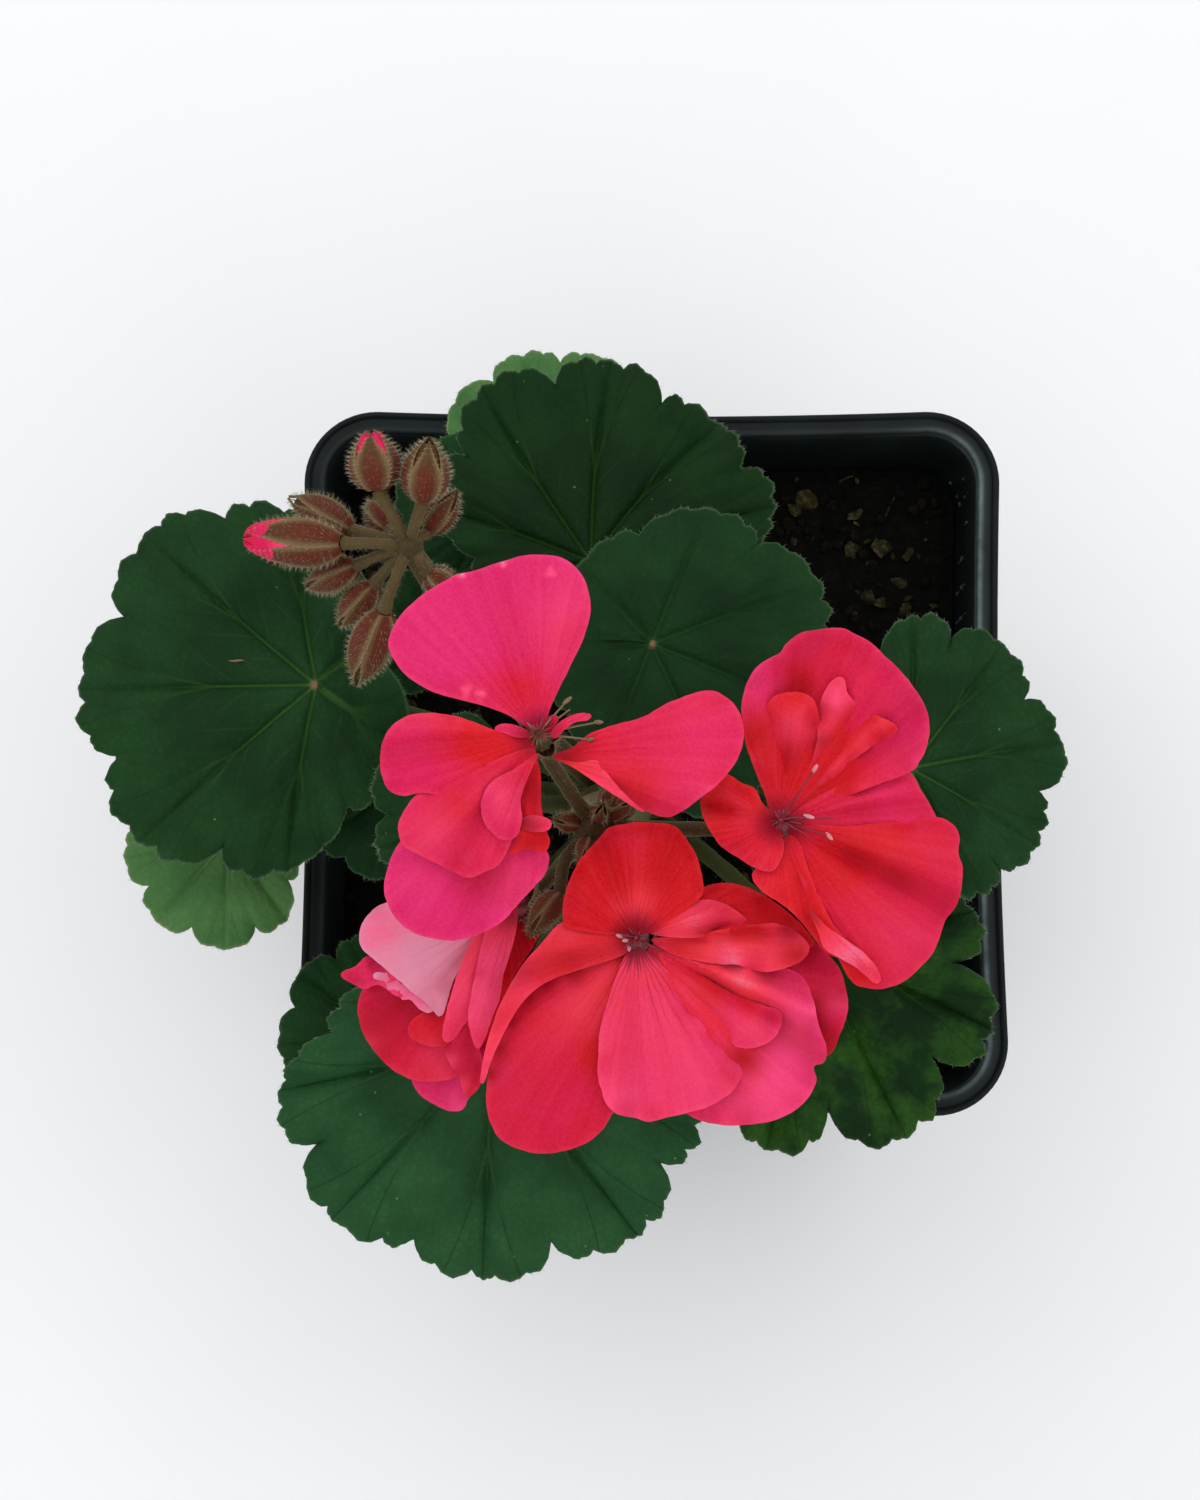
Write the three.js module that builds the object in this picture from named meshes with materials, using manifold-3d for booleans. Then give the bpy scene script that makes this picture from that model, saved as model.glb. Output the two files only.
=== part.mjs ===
// Potted zonal geranium: a square 11 cm nursery pot of peat, one short stem, fourteen leaves,
// an umbel with four open semi-double florets and a second umbel still in bud.
// Millimetres, +Z up, origin at the centre of the pot's base. Angles are in degrees.
import * as THREE from 'three';
import { mergeVertices } from 'three/addons/utils/BufferGeometryUtils.js';
import Module from 'manifold-3d';

const wasm = await Module();
wasm.setup();

// Pot
const POT_HEIGHT = 100;
const POT_WIDTH = 110;
const POT_DEPTH = 111.4;
const POT_BASE = 80;
const POT_WALL = 1.4;
const POT_CORNER = 11.5;
const POT_BASE_CORNER = 9;
const POT_FLOOR = 1.8;
const RIM_LEDGE = 2.6;
const RIM_SKIRT = 12;
const RIM_SKIN = 1;
const SIDE_BOW = 0.8;
const DRAIN_RADIUS = 4.5;
const DRAIN_OFFSET = 25;

// Soil
const SOIL_TOP = 86;
const SOIL_ROUGHNESS = 1.1;
const GAP = 0.3;

// Plant
const STEM_PATH = [[-5, -3, 60], [-5, -4, 88], [-3.5, -7, 106], [-5, -10, 124], [-8, -13, 142]];
const STEM_RADII = [5.4, 5.2, 4.6, 4.0, 3.0];
const LEAF_THICKNESS = 0.8;
const PETIOLE_RADIUS = 1.3;
const PETAL_THICKNESS = 0.7;
const PEDUNCLE_RADIUS = 1.8;
const PEDICEL_RADIUS = 1.0;
const CALYX_HEIGHT = 4.5;
const CALYX_RADIUS = 1.7;
const FLORET_CORE = 1.9;

const UMBEL_HUB = [-9, -21.5, 184];
const BUD_HUB = [-34, 16.5, 184];

// A leaf lies in its own frame: the stalk joins the blade at the origin, +X runs to the middle
// lobe. at: that joint in the pot's frame, stem: height where the stalk leaves the stem,
// reach, back and half: from the joint to the tip, to the base and to each side, kneeOut and
// kneeUp: shares of the way out and up at which the stalk bends.
const LEAF_DEFAULTS = {
  reach: 30, back: 12, half: 26, side: 0, gap: 14, heading: 0, pitch: -4, roll: 0,
  mid: 0.13, notch: 0.11, scallop: 0.045, teeth: 5, lobes: [1, 1, 1, 1, 1, 1, 1],
  kneeOut: 0.5, kneeUp: 0.72, fold: 0.06, cone: 0.12, dome: -0.22, wave: 0.03, waves: 3, phase: 0,
};
const LEAVES = {
  leaf_left_large: {
    at: [-49, 3.5, 149], stem: 114, heading: 176, pitch: -11, reach: 37, back: 12.5, half: 29, side: -1,
    gap: 12, lobes: [0.86, 0.93, 1, 1, 1, 1, 0.9],
  },
  leaf_left_young: {
    at: [-63.5, -15.5, 124], stem: 98, heading: 228, reach: 17, back: 8, half: 14.5, pitch: -8,
    teeth: 3, phase: 1,
  },
  leaf_left_under: {
    at: [-39, -9, 130], stem: 106, heading: 255, reach: 14, back: 7, half: 13, pitch: -10, teeth: 3,
  },
  leaf_centre_small: {
    at: [-19.5, -14.5, 160], stem: 126, kneeOut: 0.7, kneeUp: 0.55, heading: 200, reach: 21.5, back: 5, half: 16, gap: 40,
    pitch: 0, teeth: 4,
  },
  leaf_front_young: {
    at: [-39.5, -45.5, 118], stem: 97, heading: 142, reach: 18, back: 9, half: 15, pitch: -5,
    teeth: 3, phase: 2,
  },
  leaf_front_large: {
    at: [-23.5, -47.5, 142], stem: 110, heading: 267, reach: 35, back: 13, half: 31, gap: 12,
    pitch: -12, phase: 1,
  },
  leaf_front_right: {
    at: [22, -32, 132], stem: 104, heading: 298, reach: 33, back: 12, half: 25, mid: 0.16,
    notch: 0.2, pitch: -10, phase: 0.5,
  },
  leaf_right: {
    at: [36.5, -8, 145], stem: 112, heading: 12, pitch: -12, reach: 24.5, back: 10, half: 22.5,
    lobes: [0.92, 0.9, 0.9, 1, 1, 1, 0.95], phase: 2,
  },
  leaf_back_large: {
    at: [-9.5, 22, 147], stem: 118, heading: 90, reach: 31.5, back: 11, half: 25, gap: 16, pitch: -6,
    side: -3, lobes: [1, 0.97, 0.9, 1, 1, 1, 1],
  },
  leaf_back_upper: {
    at: [-1, 6.5, 166], stem: 131, heading: 338, reach: 27, back: 14, half: 22.5, gap: 24, pitch: -4,
    lobes: [0.8, 0.85, 1, 1, 1, 1, 1], phase: 1,
  },
  leaf_back_young: {
    at: [-14.5, 42, 122], stem: 97, heading: 108, reach: 20, back: 10, half: 17, pitch: -8, teeth: 4,
  },
  leaf_back_left: {
    at: [-25, 31, 132], stem: 106, heading: 118, reach: 15, back: 7, half: 13, pitch: 0, teeth: 3,
  },
  leaf_right_low: {
    at: [18, -8.5, 114], stem: 95, heading: 20, reach: 20, back: 9, half: 17, pitch: 0, teeth: 4,
  },
  leaf_left_low: {
    at: [-34, 15, 120], stem: 100, heading: 140, reach: 12, back: 6, half: 11, pitch: 0, teeth: 3,
  },
};
const YOUNG_LEAVES = ['leaf_left_young', 'leaf_front_young', 'leaf_back_young'];

// A petal lies in its own frame: it leaves the floret's centre at the origin and runs along +X.
// pitch lifts its tip, cup lifts its edges, curl lifts or drops its end, fan narrows its claw.
const PETAL_DEFAULTS = {
  len: 25, wid: 20, pitch: 0, roll: 0, curl: -0.09, cup: 0.05, ruffle: 0.03, waves: 2, phase: 0,
  fan: 1.3, claw: 0.1, tip: 0.2, side: 0,
};
const FLORETS = {
  floret_upper: {
    at: [-15, -14, 206], facing: [0, 0, 1], colour: 0xd93069,
    petals: [
      { heading: 118, len: 27, wid: 28.5, pitch: 6, fan: 2, tip: 0.12 },
      { heading: 184, len: 21, wid: 12.5, pitch: 3, fan: 1.2 },
      { heading: 214, len: 23, wid: 18, pitch: -2 },
      { heading: 248, len: 15.5, wid: 13, pitch: 18, ruffle: 0.1, fan: 1.2 },
      { heading: 237, len: 28.5, wid: 23, pitch: -14 },
      { heading: -6, len: 25, wid: 17, pitch: 2, fan: 1.5, tip: 0.12, side: 0.12 },
      { heading: 52, len: 7, wid: 3, pitch: 40, fan: 1 },
    ],
  },
  floret_right: {
    at: [16, -23.5, 198], facing: [0, 0, 1], colour: 0xd7273f,
    petals: [
      { heading: 68, len: 28, wid: 26, pitch: 20, cup: 0.16, fan: 1.5, tip: 0.14 },
      { heading: 82, len: 18, wid: 9, pitch: 30, fan: 1.2 },
      { heading: 52, len: 21, wid: 11, pitch: 26, fan: 1.2 },
      { heading: -7, len: 23, wid: 18, pitch: 4, fan: 1.4 },
      { heading: -50, len: 25.5, wid: 20 },
      { heading: 180, len: 12, wid: 12, pitch: 8, fan: 0.9 },
      { heading: -64, len: 22, wid: 10, pitch: 8, fan: 1 },
      { heading: 236, len: 9.5, wid: 11, pitch: 6, fan: 0.9 },
    ],
  },
  floret_front: {
    at: [-3.5, -37.5, 192], facing: [0, 0, 1], colour: 0xdc3156,
    petals: [
      { heading: 88, len: 16.5, wid: 19, pitch: 20, fan: 0.9 },
      { heading: 13, len: 21, wid: 11, pitch: 4, fan: 1 },
      { heading: -2, len: 20, wid: 8, pitch: 8, fan: 1.2 },
      { heading: -14, len: 29, wid: 16, pitch: -6, fan: 1.4 },
      { heading: -42, len: 31, wid: 26, pitch: -12 },
      { heading: -38, len: 20, wid: 9, pitch: 8, fan: 1 },
      { heading: -75, len: 24, wid: 24, pitch: 2, fan: 1.5, tip: 0.14 },
      { heading: 245, len: 31.5, wid: 21, pitch: -12, fan: 1.2 },
      { heading: 221, len: 25, wid: 8, pitch: -4, fan: 0.9 },
    ],
  },
  floret_left: {
    at: [-20, -32, 182], facing: [-0.45, -0.35, 0.82], colour: 0xd94a6c,
    petals: [
      { heading: 202, len: 22, wid: 16, pitch: 6, fan: 1.4 },
      { heading: 225, len: 28, wid: 19, pitch: -16, fan: 1.2 },
      { heading: 246, len: 31, wid: 10, pitch: -22, fan: 1 },
      { heading: 203, len: 25, wid: 7, pitch: -8, fan: 1 },
      { heading: 250, len: 19, wid: 6, fan: 1 },
      { heading: 260, len: 23, wid: 6, pitch: -6, fan: 1 },
    ],
  },
};

// Buds: the base and the tip of each, with its greatest radius.
const BUDS = [
  { base: [-38, 23.5, 188], tip: [-39, 31, 190], radius: 3.6, open: 'bud_petals_back' },
  { base: [-32, 22, 188], tip: [-31, 29.5, 192], radius: 3.3 },
  { base: [-43, 17, 184], tip: [-55.5, 18.5, 180], radius: 3.4, open: 'bud_petals_left' },
  { base: [-42, 19.5, 181], tip: [-50.5, 24.5, 178], radius: 2.5 },
  { base: [-41.5, 15, 179], tip: [-48.5, 13, 174], radius: 2.3 },
  { base: [-39, 12.5, 178], tip: [-44, 8, 172], radius: 2.2 },
  { base: [-37.5, 8, 182], tip: [-41.5, -0.5, 174], radius: 2.9 },
  { base: [-37, 20, 179], tip: [-40, 24.5, 176], radius: 1.8 },
  { base: [-31.5, 19, 182], tip: [-27.5, 24, 185], radius: 1.9 },
  { base: [-31.5, 13.5, 182], tip: [-27.5, 10.5, 180], radius: 2 },
];

const COLOURS = {
  pot: 0x1b2220, soil: 0x0f0b08, stem: 0x5c5a34, leaf: 0x1e3a20, young: 0x3e6b2b,
  stalk: 0x5a4a2c, bud: 0x6a4430, petal: 0xe0507c,
};

const radians = (angle) => (angle * Math.PI) / 180;
const vector = (point) => new THREE.Vector3(...point);
const lerp = (a, b, t) => a + (b - a) * t;

/** Turns a closed three.js geometry into a solid that can be cut and joined. */
function solidOf(geometry) {
  const bare = geometry.index ? geometry.clone() : geometry;
  bare.deleteAttribute('normal');
  bare.deleteAttribute('uv');
  const merged = mergeVertices(bare, 1e-4);
  const mesh = new wasm.Mesh({
    numProp: 3,
    vertProperties: new Float32Array(merged.attributes.position.array),
    triVerts: new Uint32Array(merged.index.array),
  });
  return new wasm.Manifold(mesh);
}

/** Turns a cut solid back into a three.js geometry. */
function geometryOf(solid) {
  const mesh = solid.getMesh();
  const geometry = new THREE.BufferGeometry();
  geometry.setAttribute('position', new THREE.BufferAttribute(new Float32Array(mesh.vertProperties), 3));
  geometry.setIndex(new THREE.BufferAttribute(new Uint32Array(mesh.triVerts), 1));
  geometry.computeVertexNormals();
  return geometry;
}

function indexedGeometry(points, triangles) {
  const geometry = new THREE.BufferGeometry();
  geometry.setAttribute('position', new THREE.Float32BufferAttribute(points.flat(), 3));
  geometry.setIndex(triangles.flat());
  return geometry;
}

/** Joins rings of equal length into one closed skin, with a fan over each end. */
function loft(rings) {
  const count = rings[0].length;
  const points = rings.flat();
  const triangles = [];
  for (let ring = 0; ring + 1 < rings.length; ring += 1) {
    for (let i = 0; i < count; i += 1) {
      const a = ring * count + i;
      const b = ring * count + ((i + 1) % count);
      triangles.push([a, b, b + count], [a, b + count, a + count]);
    }
  }
  const middle = (ring) => [0, 1, 2].map((k) => ring.reduce((sum, p) => sum + p[k], 0) / count);
  const first = points.push(middle(rings[0])) - 1;
  const last = points.push(middle(rings[rings.length - 1])) - 1;
  const top = (rings.length - 1) * count;
  for (let i = 0; i < count; i += 1) {
    const next = (i + 1) % count;
    triangles.push([first, next, i], [last, top + i, top + next]);
  }
  return indexedGeometry(points, triangles);
}

/** A tapered round tube along a smooth curve through the points, larger by grow all over. */
function tube(path, radii, sides, steps, grow = 0) {
  const curve = new THREE.CatmullRomCurve3(path.map(vector), false, 'centripetal');
  const frames = curve.computeFrenetFrames(steps, false);
  const rings = [];
  for (let step = 0; step <= steps; step += 1) {
    const t = step / steps;
    const centre = curve.getPointAt(t);
    const span = t * (radii.length - 1);
    const index = Math.min(Math.floor(span), radii.length - 2);
    const radius = lerp(radii[index], radii[index + 1], span - index) + grow;
    const ring = [];
    for (let i = 0; i < sides; i += 1) {
      const angle = (2 * Math.PI * i) / sides;
      const point = centre.clone()
        .addScaledVector(frames.normals[step], radius * Math.cos(angle))
        .addScaledVector(frames.binormals[step], radius * Math.sin(angle));
      ring.push(point.toArray());
    }
    rings.push(ring);
  }
  return loft(rings);
}

/** A turned body whose axis runs from one point to another; profile holds [radius, share]. */
function spindle(from, to, profile, sides) {
  const axis = vector(to).sub(vector(from));
  const outline = profile.map(([radius, share]) => new THREE.Vector2(radius, share * axis.length()));
  const geometry = new THREE.LatheGeometry(outline, sides);
  const turn = new THREE.Quaternion().setFromUnitVectors(new THREE.Vector3(0, 1, 0), axis.clone().normalize());
  return geometry.applyQuaternion(turn).translate(...from);
}

/** One ring of the square pot: half widths, corner radius and the inward bow of its sides. */
function squareRing(halfX, halfY, corner, bow, z) {
  const cornerSteps = 4;
  const sideSteps = 3;
  const ring = [];
  const corners = [[1, 1], [-1, 1], [-1, -1], [1, -1]];
  corners.forEach(([sx, sy], index) => {
    const cx = sx * (halfX - corner);
    const cy = sy * (halfY - corner);
    for (let i = 0; i <= cornerSteps; i += 1) {
      const angle = radians(90 * index + (90 * i) / cornerSteps);
      ring.push([cx + corner * Math.cos(angle), cy + corner * Math.sin(angle), z]);
    }
    const [nx, ny] = corners[(index + 1) % 4];
    const from = ring[ring.length - 1];
    const horizontal = index % 2 === 0;
    const to = horizontal ? [nx * (halfX - corner), from[1]] : [from[0], ny * (halfY - corner)];
    for (let i = 1; i < sideSteps; i += 1) {
      const t = i / sideSteps;
      const inward = bow * 4 * t * (1 - t);
      const x = lerp(from[0], to[0], t);
      const y = lerp(from[1], to[1], t);
      ring.push(horizontal ? [x, y - sy * inward, z] : [x - sx * inward, y, z]);
    }
  });
  return ring;
}

/** Half width of the wall's outer face at a height, inside the rim's skirt. */
function wallHalf(z) {
  const topHalf = POT_WIDTH / 2 - RIM_LEDGE;
  return lerp(POT_BASE / 2, topHalf, z / POT_HEIGHT);
}

function potRing(inset, z, bow = SIDE_BOW) {
  const share = z / POT_HEIGHT;
  const half = wallHalf(z) - inset;
  const deeper = ((POT_DEPTH - POT_WIDTH) / 2) * share;
  const corner = Math.max(2, lerp(POT_BASE_CORNER, POT_CORNER - RIM_LEDGE, share) - inset);
  return squareRing(half, half + deeper, corner, bow * share, z);
}

/** A thin drawn pot: tapering wall, rolled rim with a hanging skirt, flat base with drain holes. */
function makePot() {
  const skirtFoot = POT_HEIGHT - RIM_SKIRT;
  const rings = [
    potRing(1.2, 0),
    potRing(0, 1.2),
    potRing(0, skirtFoot),
    potRing(0, POT_HEIGHT - 1.6),
    potRing(RIM_SKIN - RIM_LEDGE, POT_HEIGHT - 1.6),
    potRing(RIM_SKIN - RIM_LEDGE, skirtFoot),
    potRing(-RIM_LEDGE, skirtFoot),
    potRing(-RIM_LEDGE, POT_HEIGHT - 0.7),
    potRing(0.6 - RIM_LEDGE, POT_HEIGHT),
    potRing(0.2, POT_HEIGHT),
    potRing(POT_WALL - 0.3, POT_HEIGHT - 0.6),
    potRing(POT_WALL, POT_HEIGHT - 3),
    potRing(POT_WALL, POT_FLOOR + 1),
    potRing(POT_WALL + 1, POT_FLOOR),
  ];
  let pot = solidOf(loft(rings));
  for (const [sx, sy] of [[1, 1], [-1, 1], [-1, -1], [1, -1]]) {
    const hole = new THREE.CylinderGeometry(DRAIN_RADIUS, DRAIN_RADIUS, 3 * POT_FLOOR, 12);
    hole.rotateX(Math.PI / 2).translate(sx * DRAIN_OFFSET, sy * DRAIN_OFFSET, POT_FLOOR / 2);
    pot = pot.subtract(solidOf(hole));
  }
  return pot;
}

/** The peat fills the pot to a slightly uneven top, with a plain hole for the stem. */
function makeSoil() {
  const inset = POT_WALL + GAP;
  const top = potRing(inset, SOIL_TOP);
  const rings = [
    potRing(inset + 1.2, POT_FLOOR + GAP),
    potRing(inset + 0.2, POT_FLOOR + GAP + 1.2),
    top,
  ];
  [0.82, 0.6, 0.36, 0.16].forEach((share, index) => {
    rings.push(top.map(([x, y], i) => {
      const bump = Math.sin(i * 1.9 + index * 2.3) + Math.cos(i * 0.7 + index * 4.1);
      return [x * share, y * share, SOIL_TOP + 0.8 + SOIL_ROUGHNESS * 0.5 * bump];
    }));
  });
  return solidOf(loft(rings)).subtract(solidOf(makeStemTube(GAP)));
}

/** The stem, or with grow the room that its neighbours leave round it. */
function makeStemTube(grow) {
  const path = STEM_PATH.map((point) => [...point]);
  path[0][2] -= grow;
  path[path.length - 1][2] += grow;
  return tube(path, STEM_RADII, 8, 8, grow);
}

/** The point on the stem's axis at a height. */
function stemPoint(z) {
  const curve = new THREE.CatmullRomCurve3(STEM_PATH.map(vector), false, 'centripetal');
  let best = curve.getPointAt(0);
  for (let i = 1; i <= 100; i += 1) {
    const point = curve.getPointAt(i / 100);
    if (Math.abs(point.z - z) < Math.abs(best.z - z)) best = point;
  }
  return best.toArray();
}

/** Turns a point of a leaf's or petal's own frame by its roll, pitch and heading, and places it. */
function place(point, { heading, pitch, roll, at }) {
  return vector(point)
    .applyAxisAngle(new THREE.Vector3(1, 0, 0), radians(roll))
    .applyAxisAngle(new THREE.Vector3(0, 1, 0), -radians(pitch))
    .applyAxisAngle(new THREE.Vector3(0, 0, 1), radians(heading))
    .add(vector(at))
    .toArray();
}

/** Shares of the half fan at which the lobes end, from the middle lobe to the base. */
function lobeEnds(mid) {
  return [mid, lerp(mid, 1, 1 / 3), lerp(mid, 1, 2 / 3), 1];
}

/** The lobe that a share of the fan falls in, and the place across that lobe from -1 to 1. */
function lobeAt(share, mid) {
  const ends = lobeEnds(mid);
  const away = Math.abs(share);
  const sign = share < 0 ? -1 : 1;
  if (away <= ends[0]) return [3, share / ends[0]];
  const k = away <= ends[1] ? 1 : away <= ends[2] ? 2 : 3;
  const across = (2 * (away - ends[k - 1])) / (ends[k] - ends[k - 1]) - 1;
  return [3 + sign * k, sign * across];
}

/** The blade of a zonal geranium: a kidney of seven shallow scalloped lobes round an open base. */
function leafPoint(leaf, share, rho) {
  const open = Math.PI - radians(leaf.gap);
  const turn = share * open;
  const [lobe, across] = lobeAt(share, leaf.mid);
  const away = Math.abs(across);
  const middle = (leaf.reach - leaf.back) / 2;
  const x = middle + ((leaf.reach + leaf.back) / 2) * Math.cos(turn);
  const y = leaf.half * Math.sin(turn);
  const end = (1 - Math.abs(share)) * open;
  const rounding = 1 - 0.42 * Math.exp(-((end / 0.3) ** 2));
  const neighbour = Math.min(6, Math.max(0, lobe + (across > 0 ? 1 : -1)));
  const length = leaf.lobes[lobe] * (1 - 0.5 * away ** 2) + leaf.lobes[neighbour] * 0.5 * away ** 2;
  const tooth = Math.abs(Math.sin((Math.PI * (across + 1) * leaf.teeth) / 2));
  let cut = -leaf.notch * away ** 3 - leaf.scallop * (1 - tooth ** 0.7);
  if (lobe === 0 || lobe === 6) cut *= Math.min(1, end / 0.5);
  const scale = rho * length * rounding * (1 + cut * rho ** 3);
  const pleat = 1 - (1 - away) ** 2;
  const lift = leaf.fold * pleat * rho * (1.15 - 0.35 * rho) + leaf.cone * rho + leaf.dome * rho ** 2
    + leaf.wave * rho ** 3 * Math.sin(leaf.waves * turn + leaf.phase);
  return [x * scale, y * scale + leaf.side * rho ** 2, leaf.reach * lift];
}

/** Fan shares of the ring points: the lobes' ribs and valleys, or every scallop and cut between. */
function ringShares(leaf, perLobe) {
  const ends = lobeEnds(leaf.mid);
  const bounds = [...ends.map((e) => -e).reverse(), ...ends];
  const shares = [];
  for (let lobe = 0; lobe < 7; lobe += 1) {
    for (let i = 0; i < perLobe; i += 1) shares.push(lerp(bounds[lobe], bounds[lobe + 1], i / perLobe));
  }
  return [...shares, 1];
}

/** A thin blade: rings round the stalk's joint, split into triangles alike on both faces. */
function leafBlade(leaf) {
  const rings = [
    { rho: 0.36, shares: ringShares(leaf, 2) },
    { rho: 0.72, shares: ringShares(leaf, 2) },
    { rho: 1, shares: ringShares(leaf, 2 * leaf.teeth) },
  ];
  const upper = [[0, 0, 0]];
  const starts = [];
  for (const ring of rings) {
    starts.push(upper.length);
    for (const share of ring.shares) upper.push(leafPoint(leaf, share, ring.rho));
  }
  const faces = [];
  for (let i = 0; i + 1 < rings[0].shares.length; i += 1) faces.push([0, starts[0] + i, starts[0] + i + 1]);
  for (let band = 0; band + 1 < rings.length; band += 1) {
    const inner = rings[band].shares;
    const outer = rings[band + 1].shares;
    let i = 0;
    let j = 0;
    while (i + 1 < inner.length || j + 1 < outer.length) {
      const a = starts[band] + i;
      const b = starts[band + 1] + j;
      const innerNext = i + 1 < inner.length ? inner[i + 1] : Infinity;
      const outerNext = j + 1 < outer.length ? outer[j + 1] : Infinity;
      if (outerNext <= innerNext) {
        faces.push([a, b, b + 1]);
        j += 1;
      } else {
        faces.push([a, b, a + 1]);
        i += 1;
      }
    }
  }
  const rim = [0, starts[0], starts[1]];
  const outerCount = rings[2].shares.length;
  for (let i = 0; i < outerCount; i += 1) rim.push(starts[2] + i);
  rim.push(starts[2] - 1, starts[1] - 1);
  return thicken(upper, faces, rim, LEAF_THICKNESS, leaf);
}

/** Gives a skin its thickness below it, with a wall along its rim, and places it. */
function thicken(upper, faces, rim, thickness, frame) {
  const count = upper.length;
  const points = [...upper, ...upper.map(([x, y, z]) => [x, y, z - thickness])];
  const triangles = [...faces, ...faces.map(([a, b, c]) => [a + count, c + count, b + count])];
  rim.forEach((a, i) => {
    const b = rim[(i + 1) % rim.length];
    triangles.push([a, a + count, b + count], [a, b + count, b]);
  });
  return indexedGeometry(points.map((point) => place(point, frame)), triangles);
}

/** A leaf with its stalk, which rises from the stem and bends out under the blade. */
function makeLeaf(values, stemCut) {
  const leaf = { ...LEAF_DEFAULTS, ...values };
  const blade = solidOf(leafBlade(leaf));
  const foot = stemPoint(leaf.stem);
  const top = [leaf.at[0], leaf.at[1], leaf.at[2] - 0.5];
  const knee = [0, 1, 2].map((k) => lerp(foot[k], top[k], k === 2 ? leaf.kneeUp : leaf.kneeOut));
  const stalk = tube([foot, knee, top], [PETIOLE_RADIUS * 1.25, PETIOLE_RADIUS, PETIOLE_RADIUS * 0.9], 5, 5);
  return blade.add(solidOf(stalk)).subtract(stemCut);
}

/** One petal: a narrow claw that widens to a round, slightly waved tip. */
function petalPoint(petal, along, across) {
  const widest = 0.72;
  let wide = petal.claw
    + (1 - petal.claw) * Math.sin((Math.PI / 2) * Math.min(1, along / widest)) ** petal.fan;
  if (along > widest) wide *= Math.sqrt(1 - 0.5 * ((along - widest) / (1 - widest)) ** 2);
  const x = petal.len * (along - petal.tip * along ** 3 * across ** 2);
  const y = (petal.wid / 2) * across * wide + petal.len * petal.side * along ** 2;
  const ripple = Math.sin(petal.waves * Math.PI * across + petal.phase);
  const lift = petal.curl * along ** 2 + petal.cup * across ** 2 * along + petal.ruffle * along ** 2 * ripple;
  return [x, y, petal.len * lift];
}

function petalSolid(values, at) {
  const petal = { ...PETAL_DEFAULTS, ...values, at };
  const steps = petal.len > 26 ? 5 : 4;
  const slices = petal.wid > 15 ? 6 : 4;
  const upper = [];
  for (let i = 0; i <= steps; i += 1) {
    for (let j = 0; j <= slices; j += 1) upper.push(petalPoint(petal, i / steps, (2 * j) / slices - 1));
  }
  const row = slices + 1;
  const faces = [];
  for (let i = 0; i < steps; i += 1) {
    for (let j = 0; j < slices; j += 1) {
      const a = i * row + j;
      faces.push([a, a + row, a + row + 1], [a, a + row + 1, a + 1]);
    }
  }
  const rim = [];
  for (let i = 0; i < steps; i += 1) rim.push(i * row);
  for (let j = 0; j < slices; j += 1) rim.push(steps * row + j);
  for (let i = steps; i > 0; i -= 1) rim.push(i * row + slices);
  for (let j = slices; j > 0; j -= 1) rim.push(j);
  return solidOf(thicken(upper, faces, rim, PETAL_THICKNESS, petal));
}

/** The petals of one floret, joined at their claws by a small core. */
function makeFloret({ at, petals }) {
  const core = new THREE.SphereGeometry(FLORET_CORE, 6, 4).translate(...at);
  return petals.reduce((bloom, petal) => bloom.add(petalSolid(petal, at)), solidOf(core));
}

/** The umbel's stalk: peduncle, hub, and for each floret a pedicel with its calyx. */
function makeUmbelStalk(stemCut) {
  const foot = stemPoint(141);
  const bend = [-10.5, -17, 164];
  const hub = new THREE.SphereGeometry(3, 6, 4).translate(...UMBEL_HUB);
  let stalk = solidOf(tube([foot, bend, UMBEL_HUB], [2.2, PEDUNCLE_RADIUS, PEDUNCLE_RADIUS], 7, 7));
  stalk = stalk.add(solidOf(hub));
  for (const floret of Object.values(FLORETS)) {
    const facing = vector(floret.facing).normalize();
    const top = vector(floret.at).addScaledVector(facing, -FLORET_CORE - GAP);
    const foot = top.clone().addScaledVector(facing, -CALYX_HEIGHT);
    const middle = vector(UMBEL_HUB).lerp(foot, 0.55).add(new THREE.Vector3(0, 0, -1.5));
    const pedicel = tube([UMBEL_HUB, middle.toArray(), foot.toArray()], [PEDICEL_RADIUS, PEDICEL_RADIUS], 5, 4);
    const profile = [[0, -0.1], [1.1, 0], [CALYX_RADIUS, 0.5], [CALYX_RADIUS * 0.9, 1], [0, 1]];
    const calyx = spindle(foot.toArray(), top.toArray(), profile, 6);
    stalk = stalk.add(solidOf(pedicel)).add(solidOf(calyx));
  }
  return stalk.subtract(stemCut);
}

function budProfile(radius) {
  return [[0, -0.04], [radius * 0.5, 0], [radius, 0.34], [radius * 0.86, 0.62], [radius * 0.3, 0.9], [0, 1]];
}

/** The pocket in an opening bud's end, and the petal tips that stand in it. */
function budOpening({ base, tip, radius }, grow) {
  const from = vector(base).lerp(vector(tip), 0.7).toArray();
  const to = vector(base).lerp(vector(tip), 1.08).toArray();
  const r = radius * 0.52 + grow;
  const length = vector(from).distanceTo(vector(to));
  const start = -grow / length;
  const end = 1 + (grow * 6) / length;
  return spindle(from, to, [[0, start], [r, start], [r * 0.96, 0.6], [r * 0.55, end], [0, end]], 6);
}

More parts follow.
